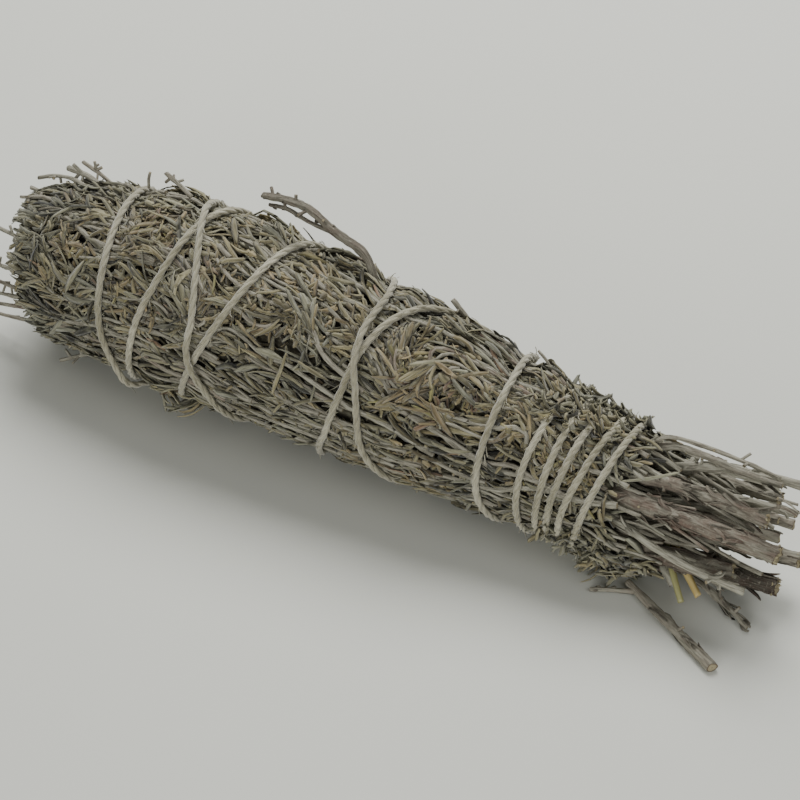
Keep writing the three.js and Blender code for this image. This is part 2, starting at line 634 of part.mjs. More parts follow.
// Outer ring of sprigs
outerStems.forEach((stem, i) => {
  const random = seededRandom(100 + i);
  const stations = outerStations(i);
  const last = stations.length - 1;
  const core = loft(stations.map(([x, swell], k) => {
    const share = k === 0 ? 0.6 : k === last ? 0.92 : 1;
    return outerSection(i, x, swell, share);
  }));
  const end = outerTo(i);
  const crown = [
    [0.2, 0.3], [0.5, 0.1], [0.8, 0.35], [0.1, 0.85], [0.5, 0.8], [0.88, 0.85], [0.32, 0.55],
    [0.7, 0.6],
  ];
  const shapes = [
    ...outerLeaves(i, random),
    ...crownLeaves(outerCount, i, end, innerShare + 0.1, 0.97, crown, random),
  ];
  for (const [x, face] of budPlaces[i]) shapes.push(...budHead(i, x, face, random));
  shapes.push(...bareTwigs(outerTwigs[i] ?? []));
  for (const points of handLeaves[i] ?? []) {
    shapes.push(blade(...points, crownLeafWidth, leafThickness, wedgeLimit(outerCount, i)));
  }
  const middle = (x) => {
    const radius = (foliageRadius(x) * (innerShare + 0.97)) / 2;
    return place(x, across(outerCount, i, 0.5, x, radius, seam), radius);
  };
  const points = stemLine(stem, middle, outerFrom(i) + 1);
  const label = `outer_${String(i + 1).padStart(2, '0')}`;
  let foliage = join(solid(core), shapes);
  if (i === forkedTwigSprig) foliage = foliage.subtract(twigHole(forkedTwig));
  addSprig(label, i, foliage, stem, points);
});

// Inner ring of sprigs
const innerStations = [-76, -50, -10, 30, 62];
innerStems.forEach((stem, i) => {
  const random = seededRandom(300 + i);
  const stations = [innerTo(i), ...innerStations, innerFrom];
  const core = loft(stations.map((x, k) => innerSection(i, x, k === 0 ? 0.7 : 1)));
  const crown = [[0.15, 0.8], [0.5, 0.85], [0.85, 0.8], [0.5, 0.3]];
  const low = centreShare + 0.08;
  const shapes = crownLeaves(innerCount, i, innerTo(i), low, innerShare - 0.14, crown, random);
  shapes.push(...bareTwigs(innerTwigs[i] ?? []));
  const middle = (x) => {
    const outer = foliageRadius(x) * innerShare - innerClearance;
    const radius = (outer + foliageRadius(x) * centreShare) / 2;
    return place(x, across(innerCount, i, 0.5, x, radius, seam), radius);
  };
  const points = stemLine(stem, middle, innerFrom + 1);
  addSprig(`inner_${i + 1}`, i + 2, join(solid(core), shapes), stem, points);
});

// Sprig in the middle
{
  const random = seededRandom(500);
  const stations = [centreTo, ...innerStations, innerFrom];
  const core = loft(stations.map((x, k) => centreSection(x, k === 0 ? 0.7 : 1)));
  const crown = [[0.1, 0.5], [0.43, 0.6], [0.77, 0.5]];
  const shapes = crownLeaves(1, 0, centreTo, 0, centreShare * 0.5, crown, random);
  const middle = (x) => place(x, 0, 0);
  const points = stemLine(centreStem, middle, innerFrom + 1);
  addSprig('centre', 4, join(solid(core), shapes), centreStem, points);
}

// Twigs and straws caught in the bundle
const forked = solid(twigRod(forkedTwig)).add(solid(rod(twigVectors(forkBranch), forkBranch.radii, 5)));
group.add(meshOf('forked_twig', forked, 0x77705f, 0.85));
const loose = solid(twigRod(looseTwig)).add(solid(rod(twigVectors(looseBranch), looseBranch.radii, 5)));
group.add(meshOf('loose_twig', loose.subtract(floorBlock), 0x6f6a58, 0.85));
group.add(meshOf('thin_twig', solid(twigRod(thinTwig)).subtract(floorBlock), 0x7b7a5e, 0.85));
group.add(meshOf('straw_green', solid(twigRod(greenStraw)), 0x97945c, 0.7));
group.add(meshOf('straw_yellow', solid(twigRod(yellowStraw)), 0xb79f5a, 0.7));

// The string round all of them
group.add(meshOf('twine', stringBody(), 0xcfc9b8, 0.95));

export default group;
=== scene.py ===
# Sage smudge stick: seventeen dried sage sprigs laid side by side and bound with one cotton string.
# Lengths are in millimetres until a shape becomes a mesh, which is in metres. The bundle lies along
# X, leafy tips towards -X and cut stems towards +X. Angles run round it in degrees: 0 top,
# 90 front (-Y), 180 bottom, 270 back.
import math

import bpy
import numpy as np
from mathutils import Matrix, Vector


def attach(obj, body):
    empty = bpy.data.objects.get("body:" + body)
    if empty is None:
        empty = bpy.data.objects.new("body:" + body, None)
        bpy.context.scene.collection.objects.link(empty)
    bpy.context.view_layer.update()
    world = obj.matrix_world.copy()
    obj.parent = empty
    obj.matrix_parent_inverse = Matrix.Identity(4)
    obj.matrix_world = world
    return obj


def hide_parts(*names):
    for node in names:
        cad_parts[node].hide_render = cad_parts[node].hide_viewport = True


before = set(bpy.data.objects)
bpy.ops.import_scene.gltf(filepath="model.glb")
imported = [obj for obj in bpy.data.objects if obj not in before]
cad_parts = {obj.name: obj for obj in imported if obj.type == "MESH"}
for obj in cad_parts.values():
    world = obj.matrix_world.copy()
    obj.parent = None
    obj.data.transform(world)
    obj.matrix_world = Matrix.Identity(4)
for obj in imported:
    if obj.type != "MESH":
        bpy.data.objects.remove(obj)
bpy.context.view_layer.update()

MM = 0.001

# Driving dimensions

# Radius over the leaves at stations along the bundle, as [x, radius].
LEAF_ENVELOPE = [
    [-109, 17.2], [-102, 19.8], [-93, 22.3], [-84, 23.6], [-75, 24.3], [-50, 26.0], [-25, 25.2],
    [0, 24.2], [25, 22.2], [50, 19.6], [65, 18.2], [80, 16.9], [96, 16.2],
]
LEAF_STAND_OFF = 2.8
OUTER_COUNT = 11
INNER_COUNT = 5
INNER_SHARE = 0.56
CENTRE_SHARE = 0.25
INNER_CLEARANCE = 1.3

STRING_RADIUS = 0.95
STRING_LIFT = STRING_RADIUS + 0.75
LONG_PITCH = 11.5               # one turn of the string's twist, and where it is bound close
CLOSE_PITCH = 7.5
CLOSE_FROM = 40
CLOSE_OVER = 15
CROSSING = 2.35
# The string's route: winding angle, x, and extra lift where it has any.
STRING_ROUTE = [
    (-112, 73.5, 0.4), (-104, 68), (-92, 56), (-70, 40), (-52, 29), (-38, 20.5), (-27, 17), (-11, 14),
    (12, 11), (40, 8.8), (65, 7.6), (96, 4.5), (111, 2), (180, -6.5), (250, -15.5), (317, -21.5),
    (343, -22.5), (378, -24), (403, -26.5), (427, -30), (451, -34.5), (487, -40.5), (540, -42.5),
    (610, -44), (680, -45), (725, -46), (761, -47), (790, -50), (830, -54.5), (852, -57.5), (900, -64),
    (960, -71), (1005, -74.5), (1044, -73.5), (1070, -70.5), (1100, -67), (1127, -64.2), (1165, -62),
    (1192, -60, 0.5), (1210, -58, CROSSING), (1226, -56.8, 0.7), (1262, -55.5), (1320, -55),
    (1390, -53.3), (1415, -50.5, 0.4), (1433, -46.8, CROSSING), (1441, -45, CROSSING), (1460, -41, 0.4),
    (1479, -37.3), (1500, -34.5, 0.5), (1512, -33.5, CROSSING), (1522, -32.6, CROSSING),
    (1542, -30.2, 0.3), (1560, -28.5), (1620, -23.5), (1668, -18.5, 0.4), (1686, -16, CROSSING),
    (1704, -12.5, 0.5), (1745, -3), (1765, 2.2), (1790, 6), (1812, 7.6, 1.2), (1824, 8.1, CROSSING),
    (1844, 9.6, CROSSING), (1858, 11.6, 1.0), (1878, 13), (1900, 14.5), (1920, 17), (1980, 24),
    (2050, 32), (2078, 36, 0.8), (2091, 38, CROSSING), (2104, 39.5, 0.8), (2130, 41.2), (2165, 43.3),
    (2205, 44), (2255, 44.2), (2285, 46), (2345, 49.5), (2405, 52.3, 0.6), (2425, 53.2, CROSSING),
    (2444, 54, 0.6), (2500, 55.8), (2545, 55.2), (2590, 54.3), (2640, 54.8), (2710, 57),
    (2764, 58.6, 0.6), (2783, 59.2, CROSSING), (2802, 59.8, 0.6), (2860, 60.3), (2910, 60.2),
    (2955, 59.6), (3010, 58.9), (3070, 60.2), (3122, 62.4, 0.6), (3141, 63.1, CROSSING),
    (3160, 63.7, 0.6), (3225, 64.6), (3280, 63.8), (3330, 62.2), (3370, 61.8), (3430, 63.4),
    (3481, 66.0, 0.6), (3500, 67.0, CROSSING), (3519, 67.8, 0.6), (3585, 69.2), (3640, 67.9),
    (3690, 65.2), (3730, 64.6), (3790, 66.3), (3839, 69.3, 0.6), (3857, 70.3, CROSSING),
    (3876, 71.2, 0.6), (3945, 73.2), (3990, 72.7), (4035, 70.5), (4075, 68.3), (4120, 67.8),
    (4165, 69.5, 0.4), (4200, 72.2, 1.2), (4222, 74.6, 0.6),
]
KNOT_ANGLE = 248
KNOT_X = 72.8
KNOT_LIFT = 0.9
KNOT_LENGTH = 1.6
KNOT_WIDTH = 1.1
KNOT_DEPTH = 1.0

# Stems by sprig: radius at the cut end, the cut end's place, sideways and upward bow, how red its
# bark is and how bright.
OUTER_STEMS = [
    (2.15, (113.8, -1.5, 8.6), (0, -0.5), 0.9, 0.08),
    (1.7, (115.5, 8.0, 10.0), (0.5, -1), 0.3, 0.5),
    (1.3, (111, 13.0, 15.0), (1, 0), 0.6, 0.5),
    (1.5, (107, 13.0, 21.5), (1, 0), 0.3, 0.55),
    (1.1, (116.5, 11.0, 29.5), (1, 1), 0.1, 0.62),
    (1.15, (108.5, 5.0, 32.5), (0, 1.5), 0.05, 0.68),
    (1.5, (109, -2.0, 26.8), (0, 1.2), 0.55, 0.45),
    (2.2, (114, -6.2, 22.6), (-0.6, 0.8), 0.8, 0.42),
    (0.95, (109, -10.6, 12.5), (-2.6, 1.0), 0.0, 0.72),
    (2.5, (104.5, -6.8, 12.4), (-0.4, 0), 0.8, 0.32),
    (1.2, (91.5, -8.3, 3.6), (0, 0.2), 0.1, 0.55),
]
INNER_STEMS = [
    (1.0, (111.5, 2.8, 13.8), (0, 0), 0.3, 0.45),
    (1.1, (108.5, 8.6, 18.6), (0.3, 0), 0.5, 0.5),
    (1.0, (113, 6.5, 24.6), (0.3, 0.4), 0.1, 0.6),
    (0.95, (105.5, 0.4, 24.4), (0, 0.4), 0.1, 0.6),
    (1.05, (107.5, -1.5, 17.2), (-0.2, 0), 0.4, 0.5),
]
CENTRE_STEM = (1.25, (111, 3.2, 18.8), (0, 0), 0.6, 0.5)
STEM_ROOT = 40
STEM_MIDWAY = 60
OUTER_STEM_SHARE = 0.97
STEM_SLIM = 0.86
THICK_RADIUS = 1.4
# A stem's sides, the depth of its bark, its ridges and knots, how rough it is cut, its shreds, stubs
# and crumbs
THICK_STEM = (26, 0.075, 4, 4, 0.28, 64, 2, 40)
THIN_STEM = (14, 0.045, 2, 3, 0.12, 12, 3, 0)

# Bare twigs and straws: points along each, and the radius there.
FORKED_TWIG = (
    [(2, 5.6, 40.5), (0.2, 7, 45.5), (-1.6, 8.1, 49.6), (-4.2, 8.7, 52.4), (-9, 9.4, 53.4),
     (-13.5, 10, 54.4), (-17.5, 10.5, 56.1), (-21.5, 11, 57.3), (-28, 11.5, 57.2), (-35.6, 12, 55.8)],
    [1.05, 1.05, 1.1, 1.1, 1.15, 1.1, 1.1, 1.0, 0.95, 0.75],
)
FORK_BRANCH = (
    [(-12, 9.8, 53.8), (-16.5, 9.9, 53.9), (-21.5, 10.3, 54.2), (-27.5, 11, 55.0), (-33.5, 11.6, 53.9)],
    [0.6, 0.6, 0.55, 0.5, 0.4],
)
LOOSE_TWIG = (
    [(81.2, -11.1, 1.3), (84.6, -12.8, 1.2), (89.7, -15.4, 1.2), (95.6, -18.4, 1.25),
     (102.5, -22, 1.3), (109.3, -25.4, 1.35)],
    [0.9, 1.05, 1.1, 1.2, 1.25, 1.3],
)
LOOSE_BRANCH = ([(84.5, -12.7, 1.0), (80.4, -14.3, 0.8), (74.4, -17.3, 0.75)], [0.65, 0.6, 0.45])
THIN_TWIG = (
    [(85.8, -2.6, 3.2), (92, -3.1, 2.9), (98, -4.2, 2.4), (104.5, -6.6, 1.6), (111, -9.6, 1.0)],
    [0.7, 0.7, 0.75, 0.65, 0.6],
)
GREEN_STRAW = ([(86.4, -3.0, 10.7), (90.8, -7.8, 6.6), (95.3, -12.2, 3.0)], [0.75, 0.75, 0.75])
YELLOW_STRAW = ([(87.2, -1.0, 10.0), (92.6, -5.6, 7.3), (98.3, -9.5, 4.3)], [0.85, 0.85, 0.9])

# Seeds of the random draws. Pieces made in a loop count up from theirs.
OUTER_SEED = 1000
INNER_SEED = 2000
CENTRE_SEED = 3000
OUTER_STEM_SEED = 400
INNER_STEM_SEED = 420
CENTRE_STEM_SEED = 430
TIP_TWIG_SEED = 700
STALK_SEED = 810
STEM_TWIG_SEED = 90
FUZZ_SEED = 77

# Steps between the points of each kind of line, and the sides of each kind of rod
TWIGLET_STEP = 1.7
STEM_STEP = 0.8
TWIG_STEP = 0.7
TIP_TWIG_STEP = 0.9
STALK_STEP = 1.1
STUB_STEP = 0.6
STRING_STEP = 1.05
ROUTE_STEP = 4.0               # degrees between the string's places, before the steps are made even
TWIGLET_SIDES = 5
STUB_SIDES = 6
STALK_SIDES = 7
TIP_TWIG_SIDES = 8

# Where the grain's third value starts for each kind of body. It shifts the noise.
OUTER_CORE_GRAIN = 5.0
INNER_CORE_GRAIN = 30.0
CENTRE_CORE_GRAIN = 40.0
PLY_GRAIN = 3.0

# Where the foliage ends, how far it may stand off, and how full it is
TIP_REACH = 8.0                # how far the leaf tips reach past a sprig's body
CROWN_SPLAY = 0.5
SPLAY_FADE = 9.0
LIFT_FADE = 14.0
FLOOR_GAP = 0.04
HELD_HEIGHT = 0.55
KNEE_SHARE = 0.4               # leaves below this share of the height they may have aren't pressed
AXIS_CLEARANCE = 4.0           # leaves nearer the axis aren't pressed either
PUFF_HEIGHT = 2.3
PUFF_REACH = 5.0
STRAND_STEP = 2.0
STRAND_LAYERS = [((-1.3, -0.2), 12), ((-0.4, 0.9), 14)]     # heights at both ends, and how many
STRAND_REACH = (24, 48)
LEAF_LENGTH = (6, 15)
LEAF_WIDTH = (0.85, 1.55)
WIDE_LEAF_WIDTH = (1.7, 2.5)
LEAF_SPACING = 0.82
TURNED_SHARE = 0.07            # how many leaves of a twiglet point back, are wide or are brown
WIDE_SHARE = 0.09
BROWN_SHARE = 0.02
HUE_MIDDLE = 0.24
TONE_MIDDLE = 0.52
MOST_COMBED = 0.85
LOOSE_LEAVES = 110
LOOSE_CURLS = 390
SEEDED_HEADS = 4
BRACTS_PER_AREA = 1.6
CROWN_SHARES = (0.68, 0.94, 0.8, 1.0, 0.88)     # how far out each tuft of a sprig's crown stands
CROWN_LEAVES = 27
INNER_CROWN_LEAVES = 30
CROWN_LEAF_LENGTH = (5, 12)
CROWN_OPENING = 0.6
INNER_CROWN = ((-22, 0.5), (0, 0.36), (22, 0.52))     # angle and how far out, for each tuft
CENTRE_CROWN = ((60, 0.1), (240, 0.1))
STRAND_TIP_LEAVES = 9
UPPER_LIFT = 0.8               # how much fuller the bundle is on top than where it rests
COVER_LEAVES = 8
BIND_COVER_LEAVES = 26
COVER_ROOT_SHIFT = 3.3         # how far from the string these leaves start
COVER_LEAF_LENGTH = (8.4, 9.8)
TUFT_LEAVES = 12
CUSHION_DENSITY = 3.4
BIND_TOP_ANGLE = 345           # where the leaves hide the close bind, and how far round
BIND_TOP_REACH = 45
BIND_FROM = 50
BIND_ODDS = 6.0
COMBED_SPRIGS = (8, 9)         # sprigs low on the front, with more of their long twigs showing
BARE_TWIGLETS = 7
BARE_TWIGLET_REACH = (30, 75)
GREY_SHARE = 0.85              # how many of the twiglets are grey, not red
COMBED_TWIGLETS = 14
OUTER_STATIONS = 60
INNER_STATIONS = 40
CORE_DEPTH = 1.7
# The cores under the leaves are coloured dark as painted shade in the gaps between the leaves.
CORE_PAINTED_SHADE_TONE = 0.1
CORE_HUE = 0.55
SEAM_GAP = 0.6
SEAM_WAVE = 1.5                # the seams between sprigs wave, in degrees over millimetres
SEAM_WAVE_LENGTH = 31
SEAM_WAVE_SHIFT = 2.4
OUTSIDE_POINTS = 7
INSIDE_POINTS = 3
CORE_RIPPLE = 0.25
STALK_COUNT = 90
STALK_FROM = (71, 82)
STALK_REACH = (10, 31)
STALK_SQUEEZE = 0.66           # how close the longest stalks come to the middle
LONG_STALK = 30
LOWEST_TIP = 1.2
STEM_MIDDLE_HEIGHT = 16.0

# Where each outer sprig's foliage starts at the stems and ends at the tips, then the inner ones
OUTER_FROM = [85, 81.5, 79.5, 80.5, 82, 79.5, 76.5, 76, 75, 82.5, 84.5]
OUTER_TO = [-88, -91, -94, -97, -99, -99, -96, -91, -86, -85, -86]
INNER_TO = [-90, -94, -98, -94, -88]
INNER_FROM = 77
CENTRE_TO = -93
RED_OUTER_STEMS = (0, 2, 9)
RED_INNER_STEMS = (1,)
LEAF_SLOTS = ["sage_grey", "sage_olive", "sage_tan"]

PLY_OFFSET = 0.38
PLY_RADIUS = 0.58
PLY_SIDES = 6
FUZZ_COUNT = 1500
FUZZ_WIDTH = 0.13

SEED_SPAN = 90.0
CUT_MARK = 1000.0              # marks a cut face in the grain's third value
CUT_RIM = 0.9                  # where bark ends and wood starts on a cut face

# Crushed sprigs that curl round, as (x, angle, size, strength)
WHORLS = [
    (23, 33, 9, 2.0), (-7, 40, 8, -1.6), (-33, 60, 8, 1.4), (-88, 60, 8, -1.2), (-57, 16, 8, 1.2),
    (52, 40, 7, -1.3), (-70, 250, 10, 1.4), (-20, 290, 9, -1.4), (30, 240, 9, 1.4),
    (-45, 190, 9, 1.0), (10, 150, 8, -0.8),
]
# Where the foliage leans round the bundle, as (x, angle, reach, radians)
DRIFTS = [
    (-25, 55, 24, -0.3), (-62, 50, 15, 0.28), (30, 30, 17, -0.25), (20, 105, 24, 0.16),
    (55, 85, 12, 0.15), (-80, 20, 14, -0.15), (0, 230, 20, 0.25), (-50, 280, 18, -0.25),
]
# Olive to tan patches, as (x, angle, reach, amount)
WARM_SPOTS = [
    (-57, 15, 9, 0.4), (-30, 28, 9, 0.3), (-53, 67, 8, 0.35), (-75, 42, 7, 0.35), (-6, 8, 8, 0.35),
    (-15, 33, 8, 0.2), (22, 33, 8, 0.35), (34, 40, 8, 0.4), (60, 35, 8, 0.3), (52, 42, 6, 0.3),
    (30, 105, 14, 0.2), (-20, 100, 10, 0.15), (-60, 260, 12, 0.35), (0, 290, 10, 0.3),
    (40, 230, 12, 0.3), (-30, 200, 12, 0.25), (20, 170, 10, 0.3),
]
# Darker patches, and brighter ones below zero, which are painted light on the top and on the lower front,
# as (x, angle, reach, amount)
DARK_PATCHES_AND_PAINTED_LIGHT = [
    (-92, 60, 7, 0.16), (-84, 66, 5, 0.12), (-72, 20, 4, 0.2), (-66, 12, 4, 0.2), (-88, 20, 5, 0.1),
    (-8, 30, 3.5, 0.2), (29, 45, 4, 0.2), (12, 62, 4, 0.12), (-52, 92, 5, 0.18), (-60, 108, 6, 0.15),
    (-12, 118, 5, 0.12), (60, 10, 4, 0.12), (-30, 95, 5, 0.15), (-100, 100, 8, 0.1),
    # Painted light: these spots below zero make the top and the lower front brighter.
    (-22, 345, 16, -0.34), (-20, 115, 18, -0.13), (30, 112, 18, -0.08), (76, 125, 8, -0.1),
]
# Crushed bud heads, as (x, angle, size, hue)
BUD_SPOTS = [
    (-57, 14, 6.5, 0.72), (-62, 30, 5, 0.6), (-50, 26, 5.5, 0.6), (-30, 28, 6.5, 0.62),
    (-37, 40, 5, 0.5), (-33, 62, 5.5, 0.5), (-53, 67, 6, 0.6), (-75, 42, 5, 0.72),
    (-72, 66, 5, 0.5), (-86, 30, 5, 0.45), (-86, 62, 5, 0.4), (-20, 34, 6, 0.55),
    (-7, 40, 5.5, 0.5), (-6, 10, 5.5, 0.66), (-22, -6, 5, 0.45), (19, 36, 5.5, 0.55),
    (26, 29, 5.5, 0.72), (35, 36, 5, 0.75), (44, 18, 4, 0.45), (52, 43, 4.5, 0.55),
    (60, 24, 4.5, 0.5), (64, 50, 4.5, 0.6), (66, -6, 5, 0.42), (73, 10, 4, 0.4),
    (70, 76, 4, 0.4), (8, 96, 4, 0.45), (60, 100, 4, 0.5), (79, 128, 5, 0.45), (75, 140, 5, 0.5),
    (82, 120, 4, 0.4), (-25, 104, 4.5, 0.45), (-64, 100, 4.5, 0.4),
]
# Where the foliage stands higher, as (x, angle, reach, amount)
SWELLS = [
    (-64, 315, 14, 1.2), (-40, 315, 13, 1.2), (-9, 315, 12, 1.5), (24, 318, 12, 0.9),
    (46, 318, 9, 1.0), (-45, 124, 9, 1.6), (-24, 20, 11, 0.8),
    (22, 30, 9, 1.4), (-58, 25, 10, 0.8), (77, 139, 7, 3.6), (66, 146, 5, 1.4), (70, 20, 5, 0.8),
    (-70, 250, 14, 1.0), (-10, 260, 14, 1.0), (48, 240, 10, 0.8),
]
# Where long stems and leaves lie side by side in good order, as (x, angle, reach, share)
COMBED_SPOTS = [
    (30, 108, 22, 0.9), (-5, 112, 22, 0.8), (-35, 118, 16, 0.7), (55, 80, 12, 0.7), (-75, 100, 12, 0.5),
    (20, 345, 18, 0.7), (-40, 340, 16, 0.5), (-20, 75, 12, 0.4), (0, 200, 40, 0.5), (0, 260, 30, 0.4),
]
# Crumpled leaves that swell up over the close bind and hide it, as (x, angle, size)
CUSHIONS = [
    (55, 1, 4), (54.5, 17, 2.6), (57.5, 343, 4), (57, 325, 4), (60, 5, 3.6), (61.5, 330, 4),
    (64.5, 350, 3.8), (64, 4, 3), (67.5, 334, 4), (69, 350, 3), (68.5, 4, 2.6), (73, 328, 3),
    (61.5, 112, 3.4), (65.5, 111, 3.2), (69.5, 107, 3), (70, 118, 3.4), (65, 122, 3.4), (74, 113, 2.8),
]
# Single leaves that stand off or hang down, by sprig: root, widest place and tip as (x, angle, radius)
STANDING_LEAVES = {
    9: [((-46.5, 126, 22.4), (-44, 126.5, 26.4), (-38, 127, 28.8)),
        ((-36, 126, 22.2), (-38.2, 126.5, 26.3), (-44.5, 127, 28.6))],
    10: [((71.8, 142, 13.4), (71.2, 140.5, 18), (70, 138, 21.9)),
         ((74.5, 135, 13.4), (72, 136.5, 18.2), (67, 137, 21)),
         ((73, 139, 13.4), (75, 139, 17.5), (77.5, 139, 21.4)),
         ((77, 146, 13.2), (79.5, 147, 16.4), (83, 150, 18)),
         ((80.5, 138, 13.2), (78.2, 140, 16.8), (73.5, 142, 20.2))],
}
# Bare twigs out of the leafy end and stubs on top: points, radius at root and tip, and how red.
TIP_TWIGS = [
    ([(-74, 7.5, 41), (-84, 9.2, 45.5), (-92, 10, 47.6)], 0.6, 0.45, 0.4),
    ([(-87.5, 9.8, 46.8), (-88, 10, 49)], 0.4, 0.35, 0.2),
    ([(-76, 5.5, 41), (-87, 7, 45.8), (-95.6, 8, 45.6)], 0.8, 0.7, 0.05),
    ([(-78, 3.5, 41), (-90, 5, 44.9), (-98, 6, 43.4), (-104.6, 6, 40.6)], 0.7, 0.5, 0.15),
    ([(-82, -3.3, 39.5), (-92.8, -3.1, 43), (-103.5, -2.9, 39.9)], 0.55, 0.45, 0.3),
    ([(-88, 4, 37.6), (-97.7, 4.3, 37.4), (-107.5, 5.2, 36.9)], 0.6, 0.5, 0.2),
    ([(-84, -4.5, 28.6), (-98, -4.2, 26.6), (-107, -3.2, 26.1), (-116.4, -3.7, 27.6)], 0.65, 0.5, 0.2),
    ([(-84, -16, 27), (-96.8, -14.2, 25), (-109.8, -9.3, 19.7), (-116.4, -7.2, 17.4)], 0.7, 0.5, 0.1),
    ([(-78, -17.5, 24.4), (-87.8, -18, 23), (-107.2, -12.7, 17.4), (-116.4, -10.3, 15)], 0.6, 0.45, 0.5),
    ([(-80, -16.5, 20.4), (-89.3, -16.8, 19.9), (-105.7, -14.9, 15.4), (-116.4, -13.4, 12.6)],
     0.65, 0.5, 0.1),
    ([(-76, -15, 17), (-85.7, -14.9, 16.4), (-107, -14.3, 10.9), (-116.4, -13.8, 8.6)], 0.6, 0.45, 0.7),
    ([(-76, -12.6, 11.5), (-85, -13.4, 10.6), (-99.5, -13.4, 7.9), (-108.5, -12.6, 5.6),
      (-116.4, -11.4, 4)], 0.6, 0.45, 0.4),
    ([(-64, -11.5, 10), (-72.6, -13.8, 8), (-83.8, -17.4, 2.9)], 0.6, 0.5, 0.1),
    ([(-67, 6, 50.5), (-66.8, 6, 53), (-66.1, 6, 55.3)], 0.4, 0.38, 0.2),
    ([(-55, 8, 50.6), (-58.5, 8, 53), (-62.6, 8, 55.3)], 0.6, 0.5, 0.35),
    ([(26, 12, 38.5), (22.4, 12, 41.8), (19.2, 12, 44.8)], 0.65, 0.55, 0.2),
    ([(48, 10, 36.5), (46, 10, 39.2), (44, 10, 40.8)], 0.4, 0.3, 0.2),
    ([(68, 9, 31), (66, 9, 33.6), (63.6, 9, 36.3)], 0.4, 0.32, 0.3),
    ([(76.8, 4, 29.5), (80.5, 4.6, 34.4), (89, 5, 35.4), (99.7, 5, 35.3), (108.4, 5, 34.4)],
     0.6, 0.45, 0.15),
]
# Thin side twigs among the stems: points, radius and how red
STEM_TWIGS = [
    ([(98, -1.5, 30), (102.1, -3, 29.5), (105.8, -3, 30), (109.5, -3, 32.3), (112.4, -3, 34),
      (116, -3, 33.4)], 0.38, 0.7),
    ([(96, 1, 33), (103, -1.5, 34.8), (109, -3, 35.8), (115.6, -3, 36.4)], 0.42, 0.35),
    ([(75, 4, 28.6), (83.1, 4, 33), (91.1, 3, 34.7), (100.5, 2, 35), (110.3, 1, 36.3)], 0.8, 0.3),
]

# Curves, places and small vector helpers


def smooth_table(rows):
    """A smooth curve through rows of [position, value, ...], as a function of position and column."""
    rows = np.array(rows, float)
    order = np.arange(len(rows))
    before = rows[np.maximum(order - 1, 0)]
    after = rows[np.minimum(order + 1, len(rows) - 1)]
    slopes = (after - before) / (after[:, :1] - before[:, :1])

    def at(position, column=1):
        position = np.asarray(position, float)
        i = np.clip(np.searchsorted(rows[:, 0], position) - 1, 0, len(rows) - 2)
        span = rows[i + 1, 0] - rows[i, 0]
        t = np.clip((position - rows[i, 0]) / span, 0, 1)
        t2, t3 = t * t, t ** 3
        return ((2 * t3 - 3 * t2 + 1) * rows[i, column] + (t3 - 2 * t2 + t) * span * slopes[i, column]
                + (3 * t2 - 2 * t3) * rows[i + 1, column] + (t3 - t2) * span * slopes[i + 1, column])

    return at


envelope = smooth_table(LEAF_ENVELOPE)
route_at = smooth_table([(*row, 0)[:3] for row in STRING_ROUTE])


def foliage_radius(x):
    return envelope(x) - LEAF_STAND_OFF


def place(x, angle, radius):
    """Points of the bundle. Its axis stands as high as the bundle is thick, so it lies flat."""
    a = np.radians(angle)
    x = np.asarray(x, float)
    return np.stack(np.broadcast_arrays(x, -radius * np.sin(a), envelope(x) + radius * np.cos(a)), -1)


def unit(v):
    return v / np.maximum(np.linalg.norm(v, axis=-1, keepdims=True), 1e-9)


def square_to(v, along):
    """Unit vectors near given ones and square to others."""
    return unit(v - along * np.sum(v * along, -1, keepdims=True))


def blend(a, b, t):
    return a + (b - a) * t


def soft_step(t):
    t = np.clip(t, 0, 1)
    return t * t * (3 - 2 * t)


def surface_axes(x, angle, height):
    """Unit vectors at places over the foliage: towards the leafy end, round the bundle, and outwards."""
    here = place(x, angle, foliage_radius(x) + height)
    forward = unit(place(x - 0.5, angle, foliage_radius(x - 0.5) + height) - here)
    around = unit(place(x, angle + 0.5, foliage_radius(x) + height) - here)
    return here, forward, around, unit(np.cross(around, forward))


def seam_angle(count, i, x):
    wave = SEAM_WAVE * np.sin(x / SEAM_WAVE_LENGTH + SEAM_WAVE_SHIFT * (i % count))
    return 180 + (i - 0.5) * (360 / count) + wave


def angle_gap(angle, other):
    """How far round one angle is from another, the short way."""
    return (angle - other + 180) % 360 - 180


def headed(forward, around, heading):
    """Unit vectors along the surface at a heading."""
    return forward * np.cos(heading)[:, None] + around * np.sin(heading)[:, None]


def inner_edge(x):
    return foliage_radius(x) * INNER_SHARE


def inner_top(x):
    return inner_edge(x) - INNER_CLEARANCE


def centre_edge(x):
    return foliage_radius(x) * CENTRE_SHARE


def lengths_along(points):
    return np.concatenate([[0], np.cumsum(np.linalg.norm(np.diff(points, axis=0), axis=1))])


def through(points, step):
    """Points at even steps on a smooth curve through hand-placed points, and their share along it."""
    points = np.array(points, float)
    chord = lengths_along(points)
    at = smooth_table(np.column_stack([chord, points]))
    t = np.linspace(0, chord[-1], max(int(round(chord[-1] / step)), 2) + 1)
    return np.stack([at(t, column) for column in (1, 2, 3)], -1), t


# Meshes


